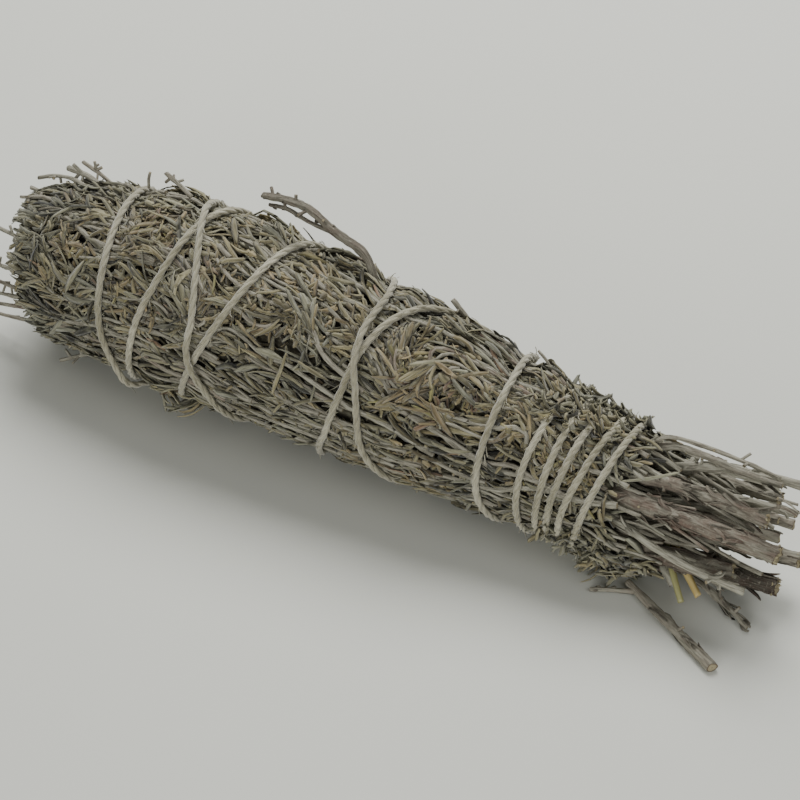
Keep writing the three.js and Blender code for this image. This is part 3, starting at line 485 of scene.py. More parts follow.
class Pile:
    """Collects closed shapes with their colour values and writes them as one piece."""

    def __init__(self):
        self.parts, self.count = [], 0

    def add(self, points, quads, triangles, grain, tone, hue):
        n = len(points)
        self.parts.append((points, np.reshape(quads, (-1, 4)) + self.count,
                           np.reshape(triangles, (-1, 3)) + self.count, grain,
                           np.broadcast_to(tone, n), np.broadcast_to(hue, n)))
        self.count += n

    def piece(self, name, material, slot, *nodes):
        """Writes the shapes as a piece in metres, which stands for the nodes of the frame given here."""
        points, quads, triangles, grain, tone, hue = (np.concatenate(part) for part in zip(*self.parts))
        points[:, 2] = np.maximum(points[:, 2], FLOOR_GAP)
        corners = np.concatenate([quads.ravel(), triangles.ravel()])
        starts = np.concatenate([np.arange(len(quads)) * 4, quads.size + np.arange(len(triangles)) * 3])
        mesh = bpy.data.meshes.new(name)
        mesh.vertices.add(len(points))
        mesh.vertices.foreach_set("co", (points * MM).ravel())
        mesh.loops.add(len(corners))
        mesh.loops.foreach_set("vertex_index", corners)
        mesh.polygons.add(len(starts))
        mesh.polygons.foreach_set("loop_start", starts)
        mesh.polygons.foreach_set("use_smooth", np.ones(len(starts), bool))
        for label, kind, field, values in (("tone", "FLOAT", "value", tone), ("hue", "FLOAT", "value", hue),
                                           ("grain", "FLOAT_VECTOR", "vector", grain)):
            attribute = mesh.attributes.new(label, kind, "POINT")
            attribute.data.foreach_set(field, values.astype(np.float32).ravel())
        mesh.update(calc_edges=True)
        mesh.validate()
        mesh.materials.append(material)
        piece = bpy.data.objects.new(name, mesh)
        bpy.context.scene.collection.objects.link(piece)
        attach(piece, "root")
        if nodes:
            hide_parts(*nodes)


# A blade's rings as shares of its length, and its width at each. A curl is a short blade.
LEAF = (np.array([0.08, 0.28, 0.5, 0.74, 0.93]), np.array([0.5, 0.85, 1.0, 0.93, 0.6]))
CURL = (np.array([0.15, 0.5, 0.88]), np.array([0.65, 1.0, 0.75]))
BLADE_SIDES = 4
# How bright a blade is painted round its section (rim, channel, rim, underside) and at its root: painted
# highlight on the rims, painted shade in the channel, underneath and at the root.
SECTION_PAINTED_LIGHT = np.array([0.07, -0.2, 0.07, -0.1])
ROOT_PAINTED_SHADE = -0.16
LOOSEST_LENGTH = 8.0           # longer blades than this one wave less for their length
SWAY = np.array([[0.25], [0.42], [0.5]])


def blade_faces(count, rings):
    """Quads and triangles of closed blades with a root point, their rings and a tip point."""
    here = 1 + np.arange(rings * BLADE_SIDES).reshape(rings, BLADE_SIDES)
    onward = np.roll(here, -1, axis=1)
    root, tip = np.zeros(BLADE_SIDES, int), np.full(BLADE_SIDES, here.size + 1)
    quads = np.stack([here[:-1], here[1:], onward[1:], onward[:-1]], -1).reshape(-1, 4)
    triangles = np.stack([root, here[0], onward[0]], -1), np.stack([onward[-1], here[-1], tip], -1)
    offsets = np.arange(count)[:, None, None] * (here.size + 2)
    return quads + offsets, np.concatenate(triangles) + offsets


def blade_lines(rng, stations, roots, along, side, out, length, lift, bend):
    """Middle lines of blades that wave as they go, and their directions at the stations."""
    n = len(roots)
    marks = np.concatenate([[0], stations, [1]])
    middles = (marks[1:] + marks[:-1]) / 2
    loose = np.minimum(LOOSEST_LENGTH / length, 1)
    sway = rng.normal(0, 1, (3, n)) * SWAY * loose
    pitch = lift[:, None] + bend[:, None] * middles + sway[0][:, None] * middles ** 2
    yaw = sway[1][:, None] * middles + sway[2][:, None] * middles ** 2
    step = length[:, None] * np.diff(marks)
    heading = ((np.cos(pitch) * np.cos(yaw))[..., None] * along[:, None]
               + (np.cos(pitch) * np.sin(yaw))[..., None] * side[:, None]
               + np.sin(pitch)[..., None] * out[:, None])
    walk = np.cumsum(heading * step[..., None], axis=1)
    centre = roots[:, None] + np.concatenate([np.zeros((n, 1, 3)), walk], axis=1)
    return centre, unit(heading[:, :-1] + heading[:, 1:])


def blades(kind, rng, roots, along, out, length, width, lift, bend):
    """Closed channelled blades that leave their roots along one way, faces turned outwards."""
    stations, shape = kind
    n = len(roots)
    side = unit(np.cross(out, along))
    out = unit(np.cross(along, side))
    centre, tangent = blade_lines(rng, stations, roots, along, side, out, length, lift, bend)
    turn = (rng.normal(0, 0.5, n)[:, None] + rng.normal(0, 0.8, n)[:, None] * stations)[..., None]
    up = square_to(out[:, None], tangent)
    across = np.cross(up, tangent)
    up, across = up * np.cos(turn) + across * np.sin(turn), across * np.cos(turn) - up * np.sin(turn)
    half = (width[:, None] / 2) * shape * rng.uniform(0.86, 1.14, (n, len(stations)))
    fold = rng.uniform(-0.2, 1.15, n)[:, None]
    thick = rng.uniform(0.2, 0.36, n)[:, None] * (0.6 + 0.4 * shape)
    sideways = half[..., None] * np.array([-1, 0, 1, 0])
    upwards = np.stack([fold * half, thick * 0.45, fold * half, -thick * 0.55], -1)
    rings = (centre[:, 1:-1, None] + across[:, :, None] * sideways[..., None]
             + up[:, :, None] * upwards[..., None])
    points = np.concatenate([centre[:, :1], rings.reshape(n, -1, 3), centre[:, -1:]], axis=1)
    grain = np.zeros_like(points)
    grain[:, 1:-1, 0] = sideways.reshape(n, -1)
    grain[:, 1:-1, 1] = np.repeat(stations * length[:, None], BLADE_SIDES, axis=1)
    grain[:, -1, 1] = length
    grain[..., 2] = rng.uniform(0, SEED_SPAN, n)[:, None]
    return points, grain


def add_blades(pile, kind, points, grain, tone, hue):
    """Puts blades in a pile, with painted shade in their channel, underneath and at their roots, and a
    painted highlight on their rims.
    """
    quads, triangles = blade_faces(len(points), len(kind[0]))
    # Painted highlight on the rims, painted shade in the channel, underneath and towards the root.
    ringed = SECTION_PAINTED_LIGHT[None] + ROOT_PAINTED_SHADE * (1 - kind[0])[:, None]
    shading = np.concatenate([[ROOT_PAINTED_SHADE], ringed.ravel(), [0]])
    shaded = np.clip(np.asarray(tone)[:, None] + shading, 0.05, 1)
    pile.add(points.reshape(-1, 3), quads, triangles, grain.reshape(-1, 3), shaded.ravel(),
             np.repeat(np.clip(hue, 0, 1), points.shape[1]))


def grow(pile, kind, rng, roots, along, out, length, width, lift, bend, tone, hue):
    """Blades put in a pile as they come. Tone and hue are a middle value and a spread."""
    points, grain = blades(kind, rng, roots, along, out, length, width, lift, bend)
    n = len(roots)
    add_blades(pile, kind, points, grain, rng.normal(*tone, n), rng.normal(*hue, n))


def carried_frame(points):
    """Tangents along a line with side and up vectors carried along it without turning."""
    tangent = unit(np.gradient(points, axis=0))
    side = np.zeros_like(points)
    start = np.array([0, 0, 1.0]) if abs(tangent[0][2]) < 0.9 else np.array([0, 1.0, 0])
    side[0] = unit(np.cross(start, tangent[0]))
    for k in range(1, len(points)):
        side[k] = unit(side[k - 1] - tangent[k] * np.dot(side[k - 1], tangent[k]))
    return tangent, side, np.cross(tangent, side)


def loft(sections):
    """A closed body through sections as points, quads and triangles. Its two end points come last."""
    rings, sides = sections.shape[:2]
    here = np.arange(rings * sides).reshape(rings, sides)
    onward = np.roll(here, -1, axis=1)
    quads = np.stack([here[:-1], onward[:-1], onward[1:], here[1:]], -1)
    first = np.full(sides, rings * sides)
    triangles = np.stack([first, onward[0], here[0]], -1), np.stack([first + 1, here[-1], onward[-1]], -1)
    points = np.concatenate([sections.reshape(-1, 3), sections[[0, -1]].mean(axis=1)])
    return points, quads, np.concatenate(triangles)


def tube(points, radii, sides, seed, relief=None, cut_tilt=0.0, rim=None):
    """A closed rod with flat cut ends. relief(around, along) scales its radius, rim roughens the cut."""
    points = np.array(points, float)
    tangent, side, up = carried_frame(points)
    along = lengths_along(points)
    around = 2 * np.pi * np.arange(sides) / sides
    radius = np.broadcast_to(np.asarray(radii, float), len(points))[:, None] * np.ones(sides)
    if relief is not None:
        radius = radius * relief(around[None], along[:, None])
    ring = (points[:, None] + side[:, None] * (radius * np.cos(around))[..., None]
            + up[:, None] * (radius * np.sin(around))[..., None])
    ring[-1] += tangent[-1] * (cut_tilt * radius[-1] * np.cos(around))[:, None]
    if rim is not None:
        ring[-1] += tangent[-1] * rim[:, None]
    rims = [[blend(ring[end].mean(0), ring[end], CUT_RIM)] for end in (0, -1)]
    body = loft(np.concatenate([rims[0], ring, rims[1]]))
    grain = np.zeros_like(body[0])
    grain[:-2, 0] = 1
    grain[:, 2] = CUT_MARK
    grain[sides:-sides - 2] = np.stack([np.tile(around, len(points)) * radius.mean(),
                                        np.repeat(along, sides), np.full(len(points) * sides, seed)], -1)
    return *body, grain


# How the string presses the foliage in, and where the foliage ends


def outer_end(angle):
    """Where the outer foliage's body ends at the leafy end, round the bundle."""
    middles = 180 + np.arange(OUTER_COUNT) * 360 / OUTER_COUNT
    return np.interp(angle, middles, OUTER_TO, period=360)


def string_path(step):
    angles = np.arange(STRING_ROUTE[0][0], STRING_ROUTE[-1][0], step)
    x = route_at(angles, 1)
    lift = np.maximum(route_at(angles, 2), 0)
    return place(x, angles, foliage_radius(x) + STRING_LIFT + lift), x, angles


MAP_X = np.arange(-125, 100, 0.5)
MAP_ANGLE_STEP = 1.5
MAP_ANGLES = np.arange(0, 360, MAP_ANGLE_STEP)
MAP_REACH = 10.0


def arc_between(angle, other, x):
    """Length round the bundle from one angle to another, the short way."""
    return np.radians(angle_gap(angle, other)) * foliage_radius(x)


def string_distance_map():
    """Distance to the string over the unrolled bundle, up to the map's reach."""
    distance = np.full((len(MAP_X), len(MAP_ANGLES)), MAP_REACH)
    _, xs, angles = string_path(1.0)
    for x, angle in zip(xs, angles):
        rows = np.where(np.abs(MAP_X - x) < MAP_REACH)[0]
        arc = arc_between(MAP_ANGLES, angle, x)
        columns = np.where(np.abs(arc) < MAP_REACH)[0]
        window = np.ix_(rows, columns)
        distance[window] = np.minimum(
            distance[window], np.hypot(MAP_X[rows, None] - x, arc[None, columns]))
    return distance


string_distance = string_distance_map()


def near_string(x, angle):
    i = np.clip(np.round((x - MAP_X[0]) / (MAP_X[1] - MAP_X[0])).astype(int), 0, len(MAP_X) - 1)
    j = np.round((angle % 360) / MAP_ANGLE_STEP).astype(int) % len(MAP_ANGLES)
    return string_distance[i, j]


def spots(rows, x, angle):
    """Sum of soft spots, each as (x, angle, reach, amount)."""
    total = np.zeros_like(x)
    for sx, sa, reach, amount in rows:
        far = (x - sx) ** 2 + arc_between(angle, sa, sx) ** 2
        total = total + amount * np.exp(-far / reach ** 2)
    return total


def puff_at(x, angle):
    """How free the foliage is of the string: 0 beside it, 1 well away from it."""
    return soft_step((near_string(x, angle) - STRING_RADIUS) / PUFF_REACH)


def lift_at(x, angle):
    """How much higher than its usual surface the foliage stands where no string holds it."""
    turned_up = (1 + np.cos(np.radians(angle))) / 2
    inside = soft_step((x - outer_end(angle)) / LIFT_FADE)
    return puff_at(x, angle) * inside * (UPPER_LIFT * turned_up + spots(SWELLS, x, angle))


def settle(points, freedom):
    """Presses points in where the string holds the foliage and where the bundle meets the surface."""
    shape = points.shape
    x, y, z = points.reshape(-1, 3).T
    free = np.broadcast_to(np.asarray(freedom, float), shape[:-1]).reshape(-1)
    axis = envelope(x)
    angle = np.degrees(np.arctan2(-y, z - axis))
    radius = np.hypot(y, z - axis)
    height = radius - foliage_radius(x)
    puff = puff_at(x, angle)
    splay = CROWN_SPLAY * soft_step((outer_end(angle) - x) / SPLAY_FADE)
    cap = HELD_HEIGHT + PUFF_HEIGHT * puff + free * (0.3 + 0.7 * puff) + splay
    knee = cap * KNEE_SHARE
    room = cap - knee
    pressed = np.where(height > knee, knee + room * (1 - np.exp(-(height - knee) / room)), height)
    scale = (foliage_radius(x) + pressed + lift_at(x, angle)) / np.maximum(radius, 1e-6)
    scale = np.where((x > LEAF_ENVELOPE[0][0]) & (radius > AXIS_CLEARANCE), scale, 1)
    return np.stack([x, y * scale, axis + (z - axis) * scale], -1).reshape(shape)


# Which way the foliage runs, and its colour: soft spots over the bundle


def flow(x, angle):
    """Heading of the foliage in radians at places over it: 0 is towards the leafy end."""
    x, angle = np.asarray(x, float), np.asarray(angle, float)
    along = -np.ones_like(x)
    across = 0.09 * np.sin(x / 17 + np.radians(angle) * 3) + 0.06 * np.sin(x / 7 - np.radians(angle) * 5)
    for wx, wa, size, strength in WHORLS:
        dx, da = x - wx, arc_between(angle, wa, wx)
        weight = strength * np.exp(-(dx * dx + da * da) / size ** 2) / np.maximum(np.hypot(dx, da), 2)
        along = along - da * weight
        across = across + dx * weight
    return np.arctan2(across, -along) + spots(DRIFTS, x, angle)


def disorder(x, angle):
    """How freely the leaves point: 1 in crushed places, near 0 where they are combed."""
    return 1 - np.minimum(spots(COMBED_SPOTS, x, angle), MOST_COMBED)


def hue_at(x, angle):
    wave = np.sin(x / 9.5 + np.radians(angle) * 2) * np.sin(x / 5.2 - np.radians(angle) * 3 + 1)
    return HUE_MIDDLE + 0.1 * wave + spots(WARM_SPOTS, x, angle)


def tone_at(x, angle):
    wave = np.sin(x / 6.1 - np.radians(angle) * 4) + np.sin(x / 3.7 + np.radians(angle) * 7 + 2)
    # Spots below zero add painted light on the top and the lower front.
    return TONE_MIDDLE + 0.05 * wave - spots(DARK_PATCHES_AND_PAINTED_LIGHT, x, angle)


# Foliage


def leaf_batch(pile, kind, rng, x, angle, height, heading, length, width, hue, tone, lift, freedom):
    """Blades over the foliage, each heading its own way along the surface and kept off the bare tip."""
    n = len(x)
    roots, forward, around, out = surface_axes(x, angle, height)
    along = headed(forward, around, heading)
    tip = outer_end(angle) - TIP_REACH
    room = (x - tip - rng.uniform(0, 6, n)) / np.maximum(np.cos(heading), 0.25)
    length = np.minimum(length, np.maximum(room, 2.5))
    bend = -lift * 1.3 + rng.normal(0, 0.2, n) - np.sin(heading) ** 2 * length / foliage_radius(x)
    points, grain = blades(kind, rng, roots, along, out, length, width, lift, bend)
    points = settle(points, np.broadcast_to(freedom, n)[:, None] * np.ones(points.shape[1]))
    add_blades(pile, kind, points, grain, tone, hue)


def strand_path(rng, x, angle, reach, heights):
    """A twiglet's way over the foliage, as rows of x, angle and height at even steps."""
    steps = max(int(reach / STRAND_STEP), 4)
    drift, phase = rng.normal(0, 0.07), rng.uniform(0, 6)
    rows = []
    for k in range(steps + 1):
        rows.append((x, angle, blend(heights[0], heights[1], k / steps)))
        heading = float(flow(x, angle)) + drift + 0.16 * math.sin(k * 0.55 + phase)
        x -= STRAND_STEP * math.cos(heading)
        angle += math.degrees(STRAND_STEP * math.sin(heading) / float(foliage_radius(x)))
        if x < outer_end(angle) - 3:
            break
    return np.array(rows)


def twiglet_hue(rng):
    """How red a twiglet is: most are grey."""
    return rng.uniform(0, 0.25) if rng.random() < GREY_SHARE else rng.uniform(0.4, 0.9)


def twiglet(pile, rng, path, radius, hue, tone, freedom):
    """A thin knobbly twig along a way over the foliage."""
    x, angle, height = path.T
    line, _ = through(place(x, angle, foliage_radius(x) + height), TWIGLET_STEP)
    line = settle(line, freedom)
    knobs = 1 + 0.22 * np.sin(np.arange(len(line)) * 1.35 + rng.uniform(0, 6)) ** 8
    radii = radius * np.linspace(1.1, 0.72, len(line)) * knobs
    shape = tube(line, radii, TWIGLET_SIDES, rng.uniform(0, SEED_SPAN), cut_tilt=rng.uniform(-0.6, 0.6))
    pile.add(*shape, tone, hue)


def strand(leaves, twigs, rng, x, angle, reach, heights):
    """A twiglet with narrow leaves pressed along both of its sides and a tuft at its tip."""
    path = strand_path(rng, x, angle, reach, heights)
    tone = float(tone_at(x, angle)) + rng.normal(0, 0.09)
    wood = twiglet_hue(rng)
    twiglet(twigs, rng, path, rng.uniform(0.36, 0.62), wood, tone + 0.05, 0.4)
    at = np.arange(0.8, len(path) - 1, LEAF_SPACING)
    at = np.clip(at + rng.uniform(-0.35, 0.35, len(at)), 0, len(path) - 1)
    n = len(at)
    lx, la, lh = (np.interp(at, np.arange(len(path)), path[:, c]) for c in range(3))
    free = disorder(lx, la)
    side = np.where(np.arange(n) % 2, 1, -1) * rng.uniform(0.03, 0.46, n) * free
    turned = rng.random(n) < TURNED_SHARE
    wide = rng.random(n) < WIDE_SHARE
    hue = hue_at(lx, la) + rng.normal(0, 0.13, n)
    hue = np.where(rng.random(n) < BROWN_SHARE, 1, hue)
    leaf_batch(leaves, LEAF, rng, lx, la, lh + rng.uniform(-0.35, 0.6, n),
               flow(lx, la) + side + np.where(turned, np.pi, 0),
               rng.uniform(*LEAF_LENGTH, n) * blend(1.35, 1, free) * blend(1, 0.7, at / len(path)),
               np.where(wide, rng.uniform(*WIDE_LEAF_WIDTH, n), rng.uniform(*LEAF_WIDTH, n)),
               hue, tone + rng.normal(0, 0.14, n), rng.normal(0.06, 0.1, n), 0.1)
    n = STRAND_TIP_LEAVES
    tip_x, tip_a, tip_h = (np.full(n, value) for value in path[-1])
    leaf_batch(leaves, CURL, rng, tip_x + rng.normal(0, 1.0, n), tip_a + rng.normal(0, 2.2, n),
               tip_h + 0.3, flow(tip_x, tip_a) + rng.normal(0, 0.6, n), rng.uniform(3, 7, n),
               rng.uniform(0.9, 1.6, n), hue_at(tip_x, tip_a) + rng.normal(0.15, 0.15, n),
               tone + rng.normal(0, 0.14, n), rng.uniform(0, 0.5, n), 0.3)


def loose_leaves(pile, rng, end, start, middle, half, n):
    x = rng.uniform(end + 2, start + 2, n)
    angle = middle + rng.uniform(-1, 1, n) * half
    leaf_batch(pile, LEAF, rng, x, angle, rng.uniform(-0.6, 1.5, n),
               flow(x, angle) + rng.normal(0, 0.75, n) * disorder(x, angle), rng.uniform(5, 12, n),
               rng.uniform(0.9, 2.0, n), hue_at(x, angle) + rng.normal(0.04, 0.2, n),
               tone_at(x, angle) + rng.normal(0, 0.17, n), rng.normal(0.1, 0.25, n), 0.5)


def loose_curls(pile, rng, end, start, middle, half, n):
    """Short crumpled bits that fill in between the leaves."""
    x = rng.uniform(end - 2, start + 1, n)
    angle = middle + rng.uniform(-1.02, 1.02, n) * half
    kept = rng.random(n) < 0.35 + 0.65 * disorder(x, angle)
    x, angle, n = x[kept], angle[kept], int(kept.sum())
    leaf_batch(pile, CURL, rng, x, angle, rng.uniform(-0.9, 0.9, n),
               rng.uniform(0, 2 * np.pi, n), rng.uniform(2, 5.5, n), rng.uniform(0.7, 1.5, n),
               hue_at(x, angle) + rng.normal(0.08, 0.2, n),
               tone_at(x, angle) + rng.normal(0, 0.17, n), rng.uniform(-0.1, 0.9, n), 0.2)


def bud_head(pile, rng, x, angle, size, hue):
    """A crushed head of small curled bracts round a place on the foliage, cupped towards its middle."""
    n = int(BRACTS_PER_AREA * size * size)
    spread = np.sqrt(rng.random(n)) * size
    turn = rng.uniform(0, 2 * np.pi, n)
    bx = x + spread * np.cos(turn) * 1.35
    ba = angle + np.degrees(spread * np.sin(turn) / foliage_radius(x))
    leaf_batch(pile, CURL, rng, bx, ba,
               0.5 + rng.uniform(-0.7, 1.1, n) * (1 - spread / size * 0.6),
               turn + np.pi + rng.normal(0, 0.8, n), rng.uniform(2.2, 5.4, n),
               rng.uniform(0.9, 1.9, n), hue + rng.normal(0, 0.16, n),
               0.55 + rng.normal(0, 0.16, n), rng.uniform(-0.1, 1.1, n), 0.4)


def cushion(pile, rng, x, angle, size):
    """Crumpled leaves heaped over the string."""
    n = int(CUSHION_DENSITY * size * size)
    spread = np.sqrt(rng.random(n))
    turn = rng.uniform(0, 2 * np.pi, n)
    lx = x + spread * size * np.cos(turn)
    la = angle + np.degrees(spread * size * np.sin(turn) / foliage_radius(x))
    height = (1 - 0.7 * spread ** 2) * rng.uniform(0.9, 3.5, n)
    roots, forward, around, out = surface_axes(lx, la, height)
    heading = rng.normal(0, 0.8, n) + np.where(rng.random(n) < 0.3, np.pi, 0)
    along = headed(forward, around, heading)
    grow(pile, CURL, rng, roots - along * 1.6, along, out, rng.uniform(2.8, 6.5, n),
         rng.uniform(0.9, 1.8, n), rng.uniform(-0.05, 0.5, n), rng.normal(-0.75, 0.4, n),
         (0.55, 0.15), (hue_at(lx, la) + 0.06, 0.15))


def standing_tuft(pile, rng, rows):
    """Leaves round one that stands off the bundle or hangs from it, given by root, widest place and tip."""
    n = TUFT_LEAVES
    root, widest, tip = (place(*row) for row in rows)
    first, second = unit(widest - root), unit(tip - widest)
    reach = np.linalg.norm(widest - root) + np.linalg.norm(tip - widest)
    turn = math.acos(min(float(np.dot(first, second)), 1))
    towards = unit(second - first * np.dot(first, second) + 1e-4)
    roots = root + rng.normal(0, 0.9, (n, 3))
    along = unit(first + rng.normal(0, 0.17, (n, 3)))
    grow(pile, LEAF, rng, roots, along, np.tile(towards, (n, 1)),
         reach * rng.uniform(0.55, 1.0, n), rng.uniform(0.9, 1.7, n),
         np.full(n, -turn / 2), turn * 2 + rng.normal(0, 0.3, n), (0.68, 0.13), (0.3, 0.16))


def cover_leaves(pile, rng, middle, half):
    """A few leaves that arch over the string and hide bits of it."""
    _, xs, angles = string_path(5.0)
    among = np.where((np.abs(angle_gap(angles, middle)) <= half) & (route_at(angles, 2) < 0.1))[0]
    at_bind = abs(angle_gap(middle, BIND_TOP_ANGLE)) < BIND_TOP_REACH
    n = min(COVER_LEAVES + (BIND_COVER_LEAVES if at_bind else 0), len(among))
    odds = np.where((xs[among] > BIND_FROM) & at_bind, BIND_ODDS, 1.0)
    k = rng.choice(among, n, replace=False, p=odds / odds.sum())
    x, angle = xs[k] + COVER_ROOT_SHIFT, angles[k] + rng.normal(0, 2, n)
    roots, forward, around, out = surface_axes(x, angle, 0.8)
    grow(pile, LEAF, rng, roots, headed(forward, around, rng.normal(0, 0.3, n)), out,
         rng.uniform(*COVER_LEAF_LENGTH, n), rng.uniform(0.8, 1.5, n), np.full(n, 1.3),
         np.full(n, -2.6), (0.55, 0.12), (0.3, 0.15))


def core(pile, sections, seed):
    """A closed body through sections of points, under the leaves, dark as painted shade in the gaps between
    them.
    """
    points, quads, triangles = loft(np.array(sections))
    grain = np.stack([points[:, 1] + points[:, 2], points[:, 0], np.full(len(points), seed)], -1)
    pile.add(points, quads, triangles, grain, CORE_PAINTED_SHADE_TONE, CORE_HUE)


def wedge_sections(count, i, stations, low, high):
    """Sections of a sprig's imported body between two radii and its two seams."""
    sections = []
    for x in stations:
        from_angle, to_angle = seam_angle(count, i, x) + SEAM_GAP, seam_angle(count, i + 1, x) - SEAM_GAP
        arc = np.linspace(from_angle, to_angle, OUTSIDE_POINTS)
        back = np.linspace(to_angle, from_angle, INSIDE_POINTS)
        height = high(np.full(OUTSIDE_POINTS, x), arc) + CORE_RIPPLE * np.sin(arc * 1.3 + x * 0.8)
        sections.append(np.concatenate([place(x, arc, height), place(x, back, low(x))]))
    return sections


def crown_tuft(pile, rng, centre_x, angle, share, n):
    """A rosette of narrow leaves at a sprig's tip that opens towards the leafy end."""
    radius = max(float(foliage_radius(centre_x)) * share, 0.4)
    middle = place(centre_x, angle, radius)
    out = unit(place(centre_x, angle, radius + 1) - middle)
    around = unit(np.cross(out, [1.0, 0, 0]))
    turn = rng.uniform(0, 2 * np.pi, n)
    opening = CROWN_OPENING * np.sqrt(rng.random(n))
    sideways = np.cos(turn)[:, None] * out + np.sin(turn)[:, None] * around
    lean = np.array([-1.0, 0, 0]) + out * (0.16 * (share - 0.3))
    along = unit(lean * np.cos(opening)[:, None] + sideways * np.sin(opening)[:, None])
    roots = (middle + sideways * rng.uniform(0.2, 1.9, n)[:, None]
             + np.outer(rng.uniform(-2, 7, n), [1.0, 0, 0]))
    tip = outer_end(angle) - TIP_REACH if share > INNER_SHARE else centre_x - TIP_REACH * 0.6
    tip = tip + rng.uniform(-1, 5)
    length = np.minimum(rng.uniform(*CROWN_LEAF_LENGTH, n), np.maximum(roots[:, 0] - tip, 3))
    points, grain = blades(LEAF, rng, roots, along, -sideways, length, rng.uniform(0.9, 1.9, n),
                           np.zeros(n), rng.normal(0.35, 0.55, n))
    points = settle(points, 0.1)
    tuft_tone = rng.normal(0.52, 0.07)
    add_blades(pile, LEAF, points, grain, tuft_tone + rng.normal(0, 0.14, n),
               rng.normal(0.22, 0.07) + rng.normal(0, 0.14, n))


def outer_strands(leaves, twigs, rng, start, end, middle, half):
    """Leafy twiglets in two layers, from the stems to the tips."""
    for heights, amount in STRAND_LAYERS:
        for k in range(amount):
            x = blend(start + 2, end + 16, (k + rng.uniform(-0.4, 0.4)) / (amount - 1))
            angle = middle + rng.uniform(-0.95, 0.95) * half
            strand(leaves, twigs, rng, x, angle, rng.uniform(*STRAND_REACH), heights)


def outer_heads(leaves, rng, start, end, middle, half):
    """The crushed bud heads listed for this sprig, and a few seeded ones."""
    heads = [spot for spot in BUD_SPOTS if abs(angle_gap(spot[1], middle)) <= half]
    for k in range(SEEDED_HEADS):
        x = blend(start, end + 8, (k + rng.uniform(0.1, 0.9)) / SEEDED_HEADS)
        heads.append((x, middle + rng.uniform(-0.8, 0.8) * half, rng.uniform(2.8, 4.6),
                      rng.uniform(0.3, 0.75)))
    for head in heads:
        bud_head(leaves, rng, *head)


def outer_crown(leaves, rng, end, middle, half):
    for k, share in enumerate(CROWN_SHARES):
        angle = middle + (k - (len(CROWN_SHARES) - 1) / 2) * half * 0.5 + rng.uniform(-3, 3)
        crown_tuft(leaves, rng, end + rng.uniform(-2, 3), angle, share, CROWN_LEAVES)


def bare_twiglets(twigs, rng, amount, start, end, middle, half):
    """Long twiglets with no leaves of their own, on top of the others."""
    for k in range(amount):
        x = blend(start + 1, end + 40, k / (amount - 1)) + rng.uniform(-6, 3)
        path = strand_path(rng, x, middle + rng.uniform(-0.9, 0.9) * half,
                           rng.uniform(*BARE_TWIGLET_REACH),
                           (rng.uniform(0, 0.8), rng.uniform(-0.2, 0.9)))
        wood = twiglet_hue(rng)
        twiglet(twigs, rng, path, rng.uniform(0.4, 0.78), wood, rng.uniform(0.45, 0.7), 0.5)


def outer_sprig(i, leaf_material, twig_material):
    rng = np.random.default_rng(OUTER_SEED + i)
    leaves, twigs = Pile(), Pile()
    start, end = OUTER_FROM[i], OUTER_TO[i]
    middle, half = 180 + i * 360 / OUTER_COUNT, 180 / OUTER_COUNT
    core(leaves, wedge_sections(
        OUTER_COUNT, i, np.linspace(start - 1.5, end + 1, OUTER_STATIONS), inner_edge,
        lambda x, arc: foliage_radius(x) - CORE_DEPTH + lift_at(x, arc)), OUTER_CORE_GRAIN + i)
    outer_strands(leaves, twigs, rng, start, end, middle, half)
    loose_leaves(leaves, rng, end, start, middle, half, LOOSE_LEAVES)
    loose_curls(leaves, rng, end, start, middle, half, LOOSE_CURLS)
    outer_heads(leaves, rng, start, end, middle, half)
    outer_crown(leaves, rng, end, middle, half)
    for rows in STANDING_LEAVES.get(i, []):
        standing_tuft(leaves, rng, rows)
    cover_leaves(leaves, rng, middle, half)
    for x, angle, size in CUSHIONS:
        if abs(angle_gap(angle, middle)) <= half:
            cushion(leaves, rng, x, angle, size)
    bare_twiglets(twigs, rng, COMBED_TWIGLETS if i in COMBED_SPRIGS else BARE_TWIGLETS,
                  start, end, middle, half)
    number = f"outer_{i + 1:02d}"
    leaves.piece("leaves_" + number, leaf_material, LEAF_SLOTS[(i + 1) % 3], "foliage_" + number)
    twigs.piece("twiglets_" + number, twig_material, "bark_grey")


def inner_sprig(i, leaf_material):
    rng = np.random.default_rng(INNER_SEED + i)
    leaves = Pile()
    core(leaves, wedge_sections(
        INNER_COUNT, i, np.linspace(INNER_FROM, INNER_TO[i] + 1, INNER_STATIONS), centre_edge,
        lambda x, arc: inner_top(x)), INNER_CORE_GRAIN + i)
    middle = 180 + i * 360 / INNER_COUNT
    for turn, share in INNER_CROWN:
        crown_tuft(leaves, rng, INNER_TO[i], middle + turn, share, INNER_CROWN_LEAVES)
    number = f"inner_{i + 1}"
    leaves.piece("leaves_" + number, leaf_material, LEAF_SLOTS[(i + 2) % 3], "foliage_" + number)


def centre_sprig(leaf_material):
    rng = np.random.default_rng(CENTRE_SEED)
    leaves = Pile()
    ring = np.arange(0, 360, 36)
    core(leaves, [place(np.full(len(ring), x), ring, centre_edge(x) * 0.9)
                  for x in np.linspace(INNER_FROM, CENTRE_TO + 1, INNER_STATIONS)], CENTRE_CORE_GRAIN)
    for turn, share in CENTRE_CROWN:
        crown_tuft(leaves, rng, CENTRE_TO, turn, share, CROWN_LEAVES)
    leaves.piece("leaves_centre", leaf_material, "sage_grey", "foliage_centre")


# Stems, twigs and straws


def stem_line(stem, middle, start_x):
    end, bow = np.array(stem[1], float), stem[2]
    inside = [middle(x) for x in (STEM_ROOT, STEM_MIDWAY, start_x)]
    free = []
    for t in (0.36, 0.7):
        arch = 4 * t * (1 - t)
        free.append(blend(inside[-1], end, t) + np.array([0, bow[0] * arch, bow[1] * arch]))
    return through(inside + free + [end], STEM_STEP)


